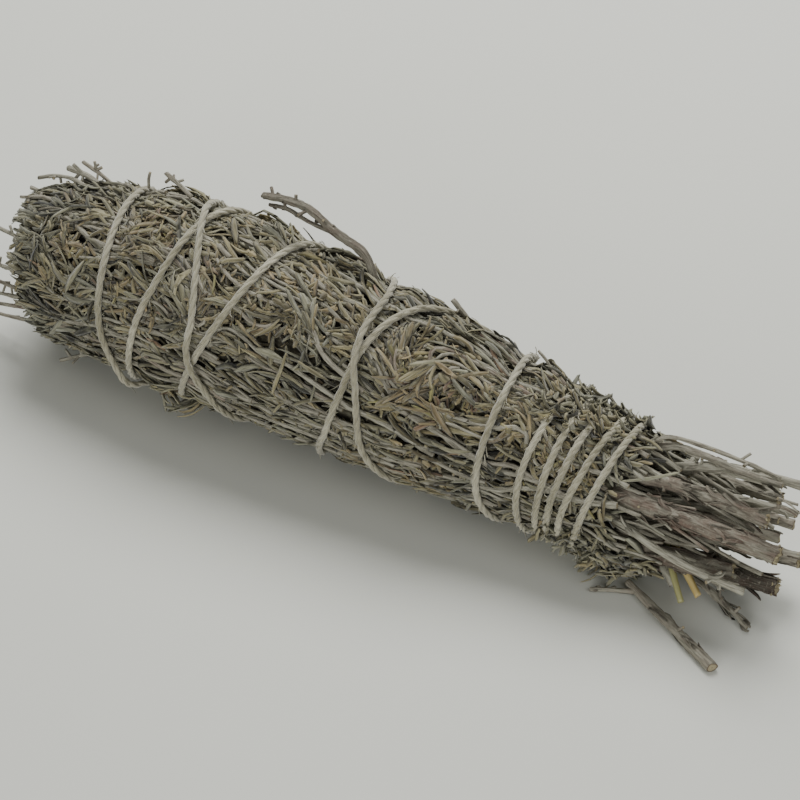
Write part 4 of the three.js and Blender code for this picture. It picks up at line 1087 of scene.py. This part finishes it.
def bark_relief(rng, depth, ridges, knots):
    """Furrows, swellings and knots as a factor on the radius."""
    phases = rng.uniform(0, 2 * np.pi, 8)
    places = [(rng.uniform(0.45, 0.97), rng.uniform(0, 2 * np.pi), rng.uniform(0.12, 0.34))
              for _ in range(knots)]

    def relief(around, along):
        furrow = np.zeros_like(around * along)
        for k in range(4):
            lean = along * (0.12 + 0.09 * k) * (-1) ** k
            wave = 0.45 * np.sin(along * (0.35 + 0.2 * k) + phases[k])
            furrow = furrow + np.sin(around * (ridges + 2 * k) + lean + wave + phases[k + 4]) / (k + 1.5)
        swell = 0.045 * np.sin(along * 0.31 + phases[0]) + 0.03 * np.sin(along * 0.83 + phases[1])
        flakes = 0.5 * depth * np.sin(along * 2.1 + 3 * np.sin(around + phases[2])) * np.sin(around * 3)
        bumps = np.zeros_like(furrow)
        for share, where, size in places:
            gap = (around - where + np.pi) % (2 * np.pi) - np.pi
            bumps = bumps + size * np.exp(-((along - share * along.max()) / 1.5) ** 2 - (gap / 0.7) ** 2)
        return 1 + depth * furrow + swell + flakes + bumps

    return relief


def bark_shreds(pile, rng, line, radii, amount, hue, tone):
    """Narrow shreds of bark along a stem's free length."""
    k = (rng.uniform(0.5, 0.97, amount) * (len(line) - 2)).astype(int)
    along = unit(line[k + 1] - line[k])
    out = square_to(rng.normal(0, 1, (amount, 3)), along)
    along = along * np.where(rng.random(amount) < 0.5, 1, -1)[:, None]
    roots = line[k] + out * (radii[k] * 0.93)[:, None]
    length = np.minimum(rng.uniform(2.5, 9, amount), 1 + (line[-1][0] - roots[:, 0]))
    grow(pile, LEAF, rng, roots, along, out, np.maximum(length, 1.5),
         rng.uniform(0.5, 1.2, amount), rng.uniform(0, 0.16, amount),
         rng.uniform(-0.25, 0.1, amount), (tone + 0.03, 0.12), (hue, 0.15))


def crumbs(pile, rng, centre, facing, radius, amount):
    """Crumbly pith and splinters round a cut face."""
    spread = radius * np.sqrt(rng.random(amount)) * 0.9
    side = unit(np.cross(facing, [0, 0.3, 1.0]))
    up = np.cross(facing, side)
    turn = rng.uniform(0, 2 * np.pi, amount)
    roots = (centre + side * (spread * np.cos(turn))[:, None] + up * (spread * np.sin(turn))[:, None]
             - facing * 0.5)
    along = unit(facing + rng.normal(0, 0.85, (amount, 3)))
    points, grain = blades(CURL, rng, roots, along, unit(rng.normal(0, 1, (amount, 3))),
                           rng.uniform(0.5, 1.25, amount), rng.uniform(0.5, 1.1, amount),
                           np.zeros(amount), rng.normal(0, 0.5, amount))
    grain[..., 0] = rng.uniform(0.05, 0.6, amount)[:, None]
    grain[..., 2] = CUT_MARK
    add_blades(pile, CURL, points, grain, np.full(amount, 0.5), np.zeros(amount))


def side_stubs(pile, rng, line, radii, amount, hue, tone):
    """Short broken stubs where side twigs came off."""
    for _ in range(amount):
        k = int(rng.uniform(0.55, 0.95) * (len(line) - 2))
        along = unit(line[k + 1] - line[k])
        out = square_to(rng.normal(0, 1, 3), along)
        if line[k][2] + out[2] * 3 < LOWEST_TIP:
            continue
        tip = line[k] + (out + along * rng.uniform(-0.8, 0.8)) * (radii[k] + rng.uniform(0.7, 2.2))
        width = rng.uniform(0.3, 0.5)
        stub, _ = through([line[k], blend(line[k], tip, 0.6), tip], STUB_STEP)
        pile.add(*tube(stub, width, STUB_SIDES, rng.uniform(0, SEED_SPAN)), tone, hue)


def stem_piece(label, slot, stem, middle, start_x, seed, material):
    rng = np.random.default_rng(seed)
    radius, _, _, hue, tone = stem
    kind = THICK_STEM if radius > THICK_RADIUS else THIN_STEM
    sides, depth, ridges, knots, roughness, shreds, stubs, pith = kind
    line, chord = stem_line(stem, middle, start_x)
    radii = radius * blend(STEM_SLIM, 1.0, chord / chord[-1])
    pile = Pile()
    relief = bark_relief(rng, depth, ridges, knots)
    rim = rng.normal(0, roughness, sides)
    pile.add(*tube(line, radii, sides, rng.uniform(0, SEED_SPAN), relief,
                   rng.uniform(-0.25, 0.25), rim), tone, hue)
    bark_shreds(pile, rng, line, radii, shreds, hue, tone)
    side_stubs(pile, rng, line, radii, stubs, hue, tone)
    if pith:
        crumbs(pile, rng, line[-1], unit(line[-1] - line[-2]), radius, pith)
    pile.piece("bark_" + label, material, slot, "stem_" + label)


def ring_middle(count, i, low, high):
    """The middle line of a sprig between two radii, as a function of x."""
    def middle(x):
        angle = (seam_angle(count, i, x) + seam_angle(count, i + 1, x)) / 2
        return place(x, angle, (low(x) + high(x)) / 2)
    return middle


def stems(material):
    for label, rows, starts, red, seed, low, high in (
            ("outer_{:02d}", OUTER_STEMS, OUTER_FROM, RED_OUTER_STEMS, OUTER_STEM_SEED,
             inner_edge, lambda x: foliage_radius(x) * OUTER_STEM_SHARE),
            ("inner_{}", INNER_STEMS, [INNER_FROM] * INNER_COUNT, RED_INNER_STEMS, INNER_STEM_SEED,
             centre_edge, inner_top)):
        for i, stem in enumerate(rows):
            stem_piece(label.format(i + 1), "bark_red" if i in red else "bark_grey", stem,
                       ring_middle(len(rows), i, low, high), starts[i] + 1, seed + i, material)
    stem_piece("centre", "bark_red", CENTRE_STEM, lambda x: place(x, 0, 0), INNER_FROM + 1,
               CENTRE_STEM_SEED, material)


def twig_shape(pile, twig, sides, seed, hue, tone, depth, knots, shreds=0):
    rng = np.random.default_rng(seed)
    line, chord = through(twig[0], TWIG_STEP)
    radii = np.interp(chord, np.linspace(0, chord[-1], len(twig[1])), twig[1])
    pile.add(*tube(line, radii, sides, rng.uniform(0, SEED_SPAN), bark_relief(rng, depth, 3, knots),
                   rng.uniform(-0.4, 0.4)), tone, hue)
    if shreds:
        bark_shreds(pile, rng, line, radii, shreds, hue, tone)
        side_stubs(pile, rng, line, radii, shreds // 4, hue, tone)


def twigs_and_straws(bark, green, yellow):
    """The single twigs and straws, each by its twigs' sides, seed, hue, tone, relief, knots and shreds."""
    for name, node, material, slot, parts in (
            ("bare_forked_twig", "forked_twig", bark, "bark_grey",
             [(FORKED_TWIG, 16, 51, 0.5, 0.34, 0.1, 10, 16), (FORK_BRANCH, 9, 52, 0.5, 0.3, 0.09, 6, 4)]),
            ("bare_loose_twig", "loose_twig", bark, "bark_grey",
             [(LOOSE_TWIG, 14, 53, 0.3, 0.47, 0.11, 9, 16), (LOOSE_BRANCH, 9, 57, 0.3, 0.47, 0.08, 5, 4)]),
            ("bare_thin_twig", "thin_twig", bark, "bark_grey",
             [(THIN_TWIG, 14, 54, 0.2, 0.5, 0.11, 9, 16)]),
            ("green_straw", "straw_green", green, "straw_green",
             [(GREEN_STRAW, 14, 55, 0.5, 0.6, 0.03, 0)]),
            ("yellow_straw", "straw_yellow", yellow, "straw_yellow",
             [(YELLOW_STRAW, 14, 56, 0.5, 0.6, 0.03, 0)])):
        pile = Pile()
        for part in parts:
            twig_shape(pile, *part)
        pile.piece(name, material, slot, node)


def tip_twigs(material):
    """Bare twigs that reach out of the leafy end, and stubs along the top."""
    pile = Pile()
    for k, (points, thick, thin, hue) in enumerate(TIP_TWIGS):
        rng = np.random.default_rng(TIP_TWIG_SEED + k)
        line, chord = through(points, TIP_TWIG_STEP)
        radii = blend(thick, thin, chord / chord[-1])
        pile.add(*tube(line, radii, TIP_TWIG_SIDES, rng.uniform(0, SEED_SPAN),
                       bark_relief(rng, 0.08, 2, 4), rng.uniform(-0.5, 0.5)),
                 rng.uniform(0.48, 0.66), hue)
        if chord[-1] > 8:
            side_stubs(pile, rng, line, radii, 3, hue, 0.5)
    pile.piece("tip_twigs", material, "bark_grey")


def stalks(material):
    """Thin leaf stalks and side twigs that fill the space among the stems at the cut end."""
    pile = Pile()
    rng = np.random.default_rng(STALK_SEED)
    for _ in range(STALK_COUNT):
        angle = rng.uniform(0, 360)
        share = math.sqrt(rng.uniform(0.12, 0.95))
        x = rng.uniform(*STALK_FROM)
        reach = rng.uniform(*STALK_REACH)
        radius = float(foliage_radius(x)) * share
        squeeze = blend(1.0, STALK_SQUEEZE, reach / LONG_STALK)
        bottom = float(envelope(x))
        rows = [place(x, angle, radius), place(x + reach * 0.5, angle + rng.normal(0, 7), radius * 0.92)]
        tip = place(x + reach, angle + rng.normal(0, 14), radius * squeeze)
        tip[2] = max(tip[2] + (STEM_MIDDLE_HEIGHT - bottom) * reach / LONG_STALK, LOWEST_TIP)
        line, _ = through(rows + [tip], STALK_STEP)
        radii = rng.uniform(0.34, 0.75) * np.linspace(1, 0.75, len(line))
        hue = rng.uniform(0, 0.25) if rng.random() < 0.8 else rng.uniform(0.5, 1)
        pile.add(*tube(line, radii, STALK_SIDES, rng.uniform(0, SEED_SPAN),
                       bark_relief(rng, 0.06, 2, 3), rng.uniform(-0.6, 0.6)),
                 rng.uniform(0.45, 0.8), hue)
    for k, (points, radius, hue) in enumerate(STEM_TWIGS):
        radii = [radius * 1.2, radius, radius * 0.8]
        twig_shape(pile, (points, radii), TIP_TWIG_SIDES, STEM_TWIG_SEED + k, hue, 0.42, 0.1, 5, 4)
    pile.piece("thin_stalks", material, "bark_grey")


# The string: three plies twisted together along the route, with its knot


def rope(pile, path):
    """Three plies twisted softly together, fuller in some places than in others."""
    _, side, up = carried_frame(path)
    along = lengths_along(path)
    pitch = blend(LONG_PITCH, CLOSE_PITCH, soft_step((path[:, 0] - CLOSE_FROM) / CLOSE_OVER))
    twist = np.cumsum(np.gradient(along) / pitch)
    for ply in range(3):
        turn = 2 * np.pi * (twist + ply / 3)
        round_path = side * np.cos(turn)[:, None] + up * np.sin(turn)[:, None]
        centre = path + round_path * STRING_RADIUS * PLY_OFFSET
        fullness = 1 + 0.07 * np.sin(along * 0.9 + ply * 2) + 0.05 * np.sin(along * 0.37 + ply)
        pile.add(*tube(centre, STRING_RADIUS * PLY_RADIUS * fullness, PLY_SIDES, PLY_GRAIN + ply), 0.5, 0.3)


def string_fuzz(pile, path, rng, amount):
    """Stray cotton fibres that stand off the string."""
    k = rng.integers(1, len(path) - 1, amount)
    along = unit(path[k + 1] - path[k - 1])
    out = square_to(rng.normal(0, 1, (amount, 3)), along)
    points, grain = blades(CURL, rng, path[k] + out * STRING_RADIUS * 0.8,
                           unit(along + out * rng.uniform(0.1, 0.6, amount)[:, None]), out,
                           rng.uniform(1.2, 3.2, amount), np.full(amount, FUZZ_WIDTH),
                           np.zeros(amount), rng.normal(-0.3, 0.8, amount))
    middle = points.mean(axis=1, keepdims=True)
    across = points - middle
    spine = np.sum(across * along[:, None], -1, keepdims=True) * along[:, None]
    add_blades(pile, CURL, middle + spine + (across - spine) * 0.8, grain, np.full(amount, 0.6),
               np.full(amount, 0.3))


def knot_path():
    """A loose flat knot that lies on the outside of the bundle."""
    centre = place(KNOT_X, KNOT_ANGLE, foliage_radius(KNOT_X) + STRING_LIFT + KNOT_LIFT)
    outward = unit(place(KNOT_X, KNOT_ANGLE, 1.0) - place(KNOT_X, KNOT_ANGLE, 0.0))
    sideways = unit(np.cross(outward, [1.0, 0, 0]))
    t = np.linspace(0, 2 * np.pi, 90)
    return (centre + np.outer(KNOT_LENGTH * (np.sin(t) + 0.9 * np.sin(2 * t)), [1, 0, 0])
            + np.outer(KNOT_WIDTH * (np.cos(t) - 0.9 * np.cos(2 * t)), sideways)
            - np.outer(KNOT_DEPTH * np.sin(3 * t), outward))


def twine(material):
    pile = Pile()
    path, _ = through(string_path(ROUTE_STEP)[0], STRING_STEP)
    rope(pile, path)
    string_fuzz(pile, path, np.random.default_rng(FUZZ_SEED), FUZZ_COUNT)
    rope(pile, knot_path())
    pile.piece("cotton_string", material, "twine", "twine")


# Materials


class Nodes:
    """A material's node tree, with short calls for the nodes that the materials share."""

    def __init__(self, name):
        self.material = bpy.data.materials.new(name)
        self.material.use_nodes = True
        self.tree = self.material.node_tree
        self.shader = self.tree.nodes["Principled BSDF"]

    def feed(self, node, sockets):
        """Links sockets to the outputs given for them, and sets the others to their values."""
        for key, value in sockets.items():
            if isinstance(value, bpy.types.NodeSocket):
                self.tree.links.new(value, node.inputs[key])
            else:
                node.inputs[key].default_value = value

    def add(self, kind, sockets, output=0, **values):
        """Adds a node with its values, feeds its sockets and returns one of its outputs."""
        node = self.tree.nodes.new("ShaderNode" + kind)
        for key, value in values.items():
            setattr(node, key, value)
        self.feed(node, sockets)
        return node.outputs[output]

    def attribute(self, name, output="Fac"):
        return self.add("Attribute", {}, output, attribute_name=name)

    def math(self, operation, a, b):
        return self.add("Math", {0: a, 1: b}, operation=operation)

    def noise(self, vector, stretch, detail=3.0, roughness=0.55):
        """Noise over a vector that is stretched first."""
        scaled = self.add("VectorMath", {0: vector, 1: stretch}, operation="MULTIPLY")
        return self.add("TexNoise", {"Vector": scaled, "Scale": 1.0, "Detail": detail,
                                     "Roughness": roughness}, "Fac")

    def ramp(self, value, *stops):
        """A colour ramp through stops, each as a position and a colour or a grey."""
        output = self.add("ValToRGB", {0: value})
        elements = output.node.color_ramp.elements
        while len(elements) < len(stops):
            elements.new(0.5)
        for element, (position, color) in zip(elements, stops):
            element.position = position
            element.color = (*color, 1) if isinstance(color, tuple) else (color, color, color, 1)
        return output

    def mix(self, factor, a, b, mode="MIX"):
        a, b = ((*color, 1) if isinstance(color, tuple) else color for color in (a, b))
        return self.add("Mix", {0: factor, 6: a, 7: b}, 2, data_type="RGBA", blend_type=mode)

    def finish(self, color, values, height, strength, distance):
        """Sets the shader's colour, its own even values and its bump."""
        normal = self.add("Bump", {"Height": height, "Strength": strength, "Distance": distance})
        self.feed(self.shader, {"Base Color": color, "Normal": normal, **values})
        return self.material


def leaf_material():
    m = Nodes("dried_sage_leaf")
    grain = m.attribute("grain", "Vector")
    tint = m.ramp(m.attribute("hue"), (0.0, (0.327, 0.325, 0.236)), (0.25, (0.357, 0.34, 0.219)),
                  (0.5, (0.375, 0.33, 0.176)), (0.78, (0.42, 0.325, 0.17)), (0.89, (0.43, 0.4, 0.16)),
                  (1.0, (0.30, 0.20, 0.12)))
    brightness = m.ramp(m.attribute("tone"), (0.05, 0.035), (0.3, 0.36), (0.52, 0.66), (0.85, 0.95))
    streaks = m.noise(grain, (3.0, 0.3, 1.0), 4.0)
    blotches = m.noise(grain, (0.6, 0.35, 1.0), 2.0)
    body = m.mix(1.0, tint, brightness, "MULTIPLY")
    veined = m.mix(0.75, body, m.ramp(streaks, (0.3, (0.2, 0.19, 0.16)), (0.62, 1)), "MULTIPLY")
    felt = m.math("MULTIPLY", m.ramp(blotches, (0.5, 0), (0.75, 1)), 0.35)
    values = {"Roughness": 0.9, "Sheen Weight": 0.2, "Sheen Roughness": 0.6, "Specular IOR Level": 0.25}
    return m.finish(m.mix(felt, veined, (0.34, 0.33, 0.228)), values, streaks, 0.6, 0.0003)


def bark_material():
    m = Nodes("weathered_bark")
    grain = m.attribute("grain", "Vector")
    patches = m.noise(grain, (0.5, 0.16, 1.0), 4.0)
    furrows = m.noise(grain, (2.6, 0.24, 1.0), 5.0, 0.62)
    specks = m.noise(grain, (1.7, 1.5, 1.0))
    redness = m.math("MULTIPLY", m.attribute("hue"), m.ramp(patches, (0.36, 1), (0.6, 0.2)))
    tint = m.mix(redness, (0.455, 0.44, 0.35), (0.26, 0.17, 0.13))
    brightness = m.ramp(m.attribute("tone"), (0.0, 0.14), (0.5, 0.72), (1.0, 1))
    body = m.mix(1.0, tint, brightness, "MULTIPLY")
    lined = m.mix(0.85, body, m.ramp(furrows, (0.3, (0.2, 0.18, 0.16)), (0.6, 1)), "MULTIPLY")
    pale = m.math("MULTIPLY", m.ramp(specks, (0.56, 0), (0.72, 1)), 0.4)
    bark = m.mix(pale, lined, (0.37, 0.345, 0.27))
    across = m.add("SeparateXYZ", {0: grain})
    is_cut = m.math("GREATER_THAN", across.node.outputs["Z"], CUT_MARK * 0.5)
    wood = m.ramp(across, (0.0, (0.2, 0.16, 0.09)), (0.3, (0.34, 0.30, 0.19)),
                  (0.8, (0.28, 0.24, 0.155)), (0.97, (0.10, 0.07, 0.045)))
    return m.finish(m.mix(is_cut, bark, wood), {"Roughness": 0.88, "Specular IOR Level": 0.2},
                    furrows, 0.8, 0.0005)


def straw_material(name, dark, light):
    m = Nodes(name)
    lines = m.noise(m.attribute("grain", "Vector"), (3.0, 0.1, 1.0))
    return m.finish(m.ramp(lines, (0.3, dark), (0.7, light)), {"Roughness": 0.5}, lines, 0.3, 0.0002)


def string_material():
    m = Nodes("cotton_string")
    grain = m.attribute("grain", "Vector")
    fibres = m.noise(grain, (5.0, 0.45, 1.0), 4.0, 0.65)
    grime = m.noise(grain, (0.05, 0.04, 0.0), 2.0)
    color = m.mix(0.9, m.ramp(grime, (0.36, (0.30, 0.28, 0.19)), (0.64, (0.47, 0.445, 0.33))),
                  m.ramp(fibres, (0.34, (0.34, 0.32, 0.27)), (0.58, 1)), "MULTIPLY")
    return m.finish(color, {"Roughness": 0.95, "Sheen Weight": 0.4}, fibres, 0.5, 0.0002)


def floor_material():
    m = Nodes("pale_floor")
    speckle = m.noise(m.add("TexCoord", {}, "Object"), (3.0, 3.0, 3.0), 2.0)
    color = m.ramp(speckle, (0.3, (0.56, 0.567, 0.51)), (0.7, (0.585, 0.592, 0.535)))
    m.feed(m.shader, {"Base Color": color, "Roughness": 0.75})
    return m.material


# Floor, light and camera

TARGET = Vector((13.915, -3.464, 22.0)) * MM
CAMERA_TURN = math.radians(31.51734)
CAMERA_RISE = math.radians(40)
CAMERA_DISTANCE = 0.464396
FOCAL_PIXELS = 1900
FRAME_PIXELS = 800
SENSOR = 36.0
FLOOR_SIDE = 3.0
SKY_COLOR = (1.0, 1.01, 0.99, 1)
SKY_STRENGTH = 0.27
# Each light's name, place, size and power
LIGHTS = [
    ("overhead_back", (-0.15, 0.45, 0.75), 0.6, 11.2),
    ("side_fill", (0.7, -0.2, 0.6), 0.6, 1.5),
    ("low_front_fill", (0.2, -0.75, 0.17), 0.5, 3.8),
]


def aim(name, data, location):
    """Puts a camera or a light in the scene, turned towards the bundle."""
    thing = bpy.data.objects.new(name, data)
    thing.location = location
    thing.rotation_euler = (TARGET - thing.location).to_track_quat("-Z", "Y").to_euler()
    bpy.context.scene.collection.objects.link(thing)
    return thing


def camera():
    back = Vector((math.sin(CAMERA_TURN) * math.cos(CAMERA_RISE),
                   -math.cos(CAMERA_TURN) * math.cos(CAMERA_RISE), math.sin(CAMERA_RISE)))
    data = bpy.data.cameras.new("camera")
    data.sensor_width = SENSOR
    data.lens = SENSOR * FOCAL_PIXELS / FRAME_PIXELS
    bpy.context.scene.camera = aim("camera", data, TARGET + back * CAMERA_DISTANCE)


def area_light(name, location, size, power):
    data = bpy.data.lights.new(name, "AREA")
    data.shape = "DISK"
    data.size = size
    data.energy = power
    aim(name, data, location)


def surroundings():
    """The floor, the even light all round and the studio lights."""
    mesh = bpy.data.meshes.new("floor")
    side = FLOOR_SIDE
    mesh.from_pydata([(-side, -side, 0), (side, -side, 0), (side, side, 0), (-side, side, 0)], [],
                     [(0, 1, 2, 3)])
    mesh.materials.append(floor_material())
    floor = bpy.data.objects.new("floor", mesh)
    bpy.context.scene.collection.objects.link(floor)
    world = bpy.data.worlds.new("studio")
    world.use_nodes = True
    sky = world.node_tree.nodes["Background"]
    sky.inputs[0].default_value = SKY_COLOR
    sky.inputs[1].default_value = SKY_STRENGTH
    bpy.context.scene.world = world
    for light in LIGHTS:
        area_light(*light)


camera()
surroundings()
leaf = leaf_material()
bark = bark_material()
for sprig in range(OUTER_COUNT):
    outer_sprig(sprig, leaf, bark)
for sprig in range(INNER_COUNT):
    inner_sprig(sprig, leaf)
centre_sprig(leaf)
stems(bark)
tip_twigs(bark)
stalks(bark)
twigs_and_straws(bark, straw_material("green_stalk", (0.24, 0.23, 0.09), (0.38, 0.37, 0.17)),
                 straw_material("yellow_stalk", (0.42, 0.31, 0.10), (0.60, 0.48, 0.22)))
twine(string_material())
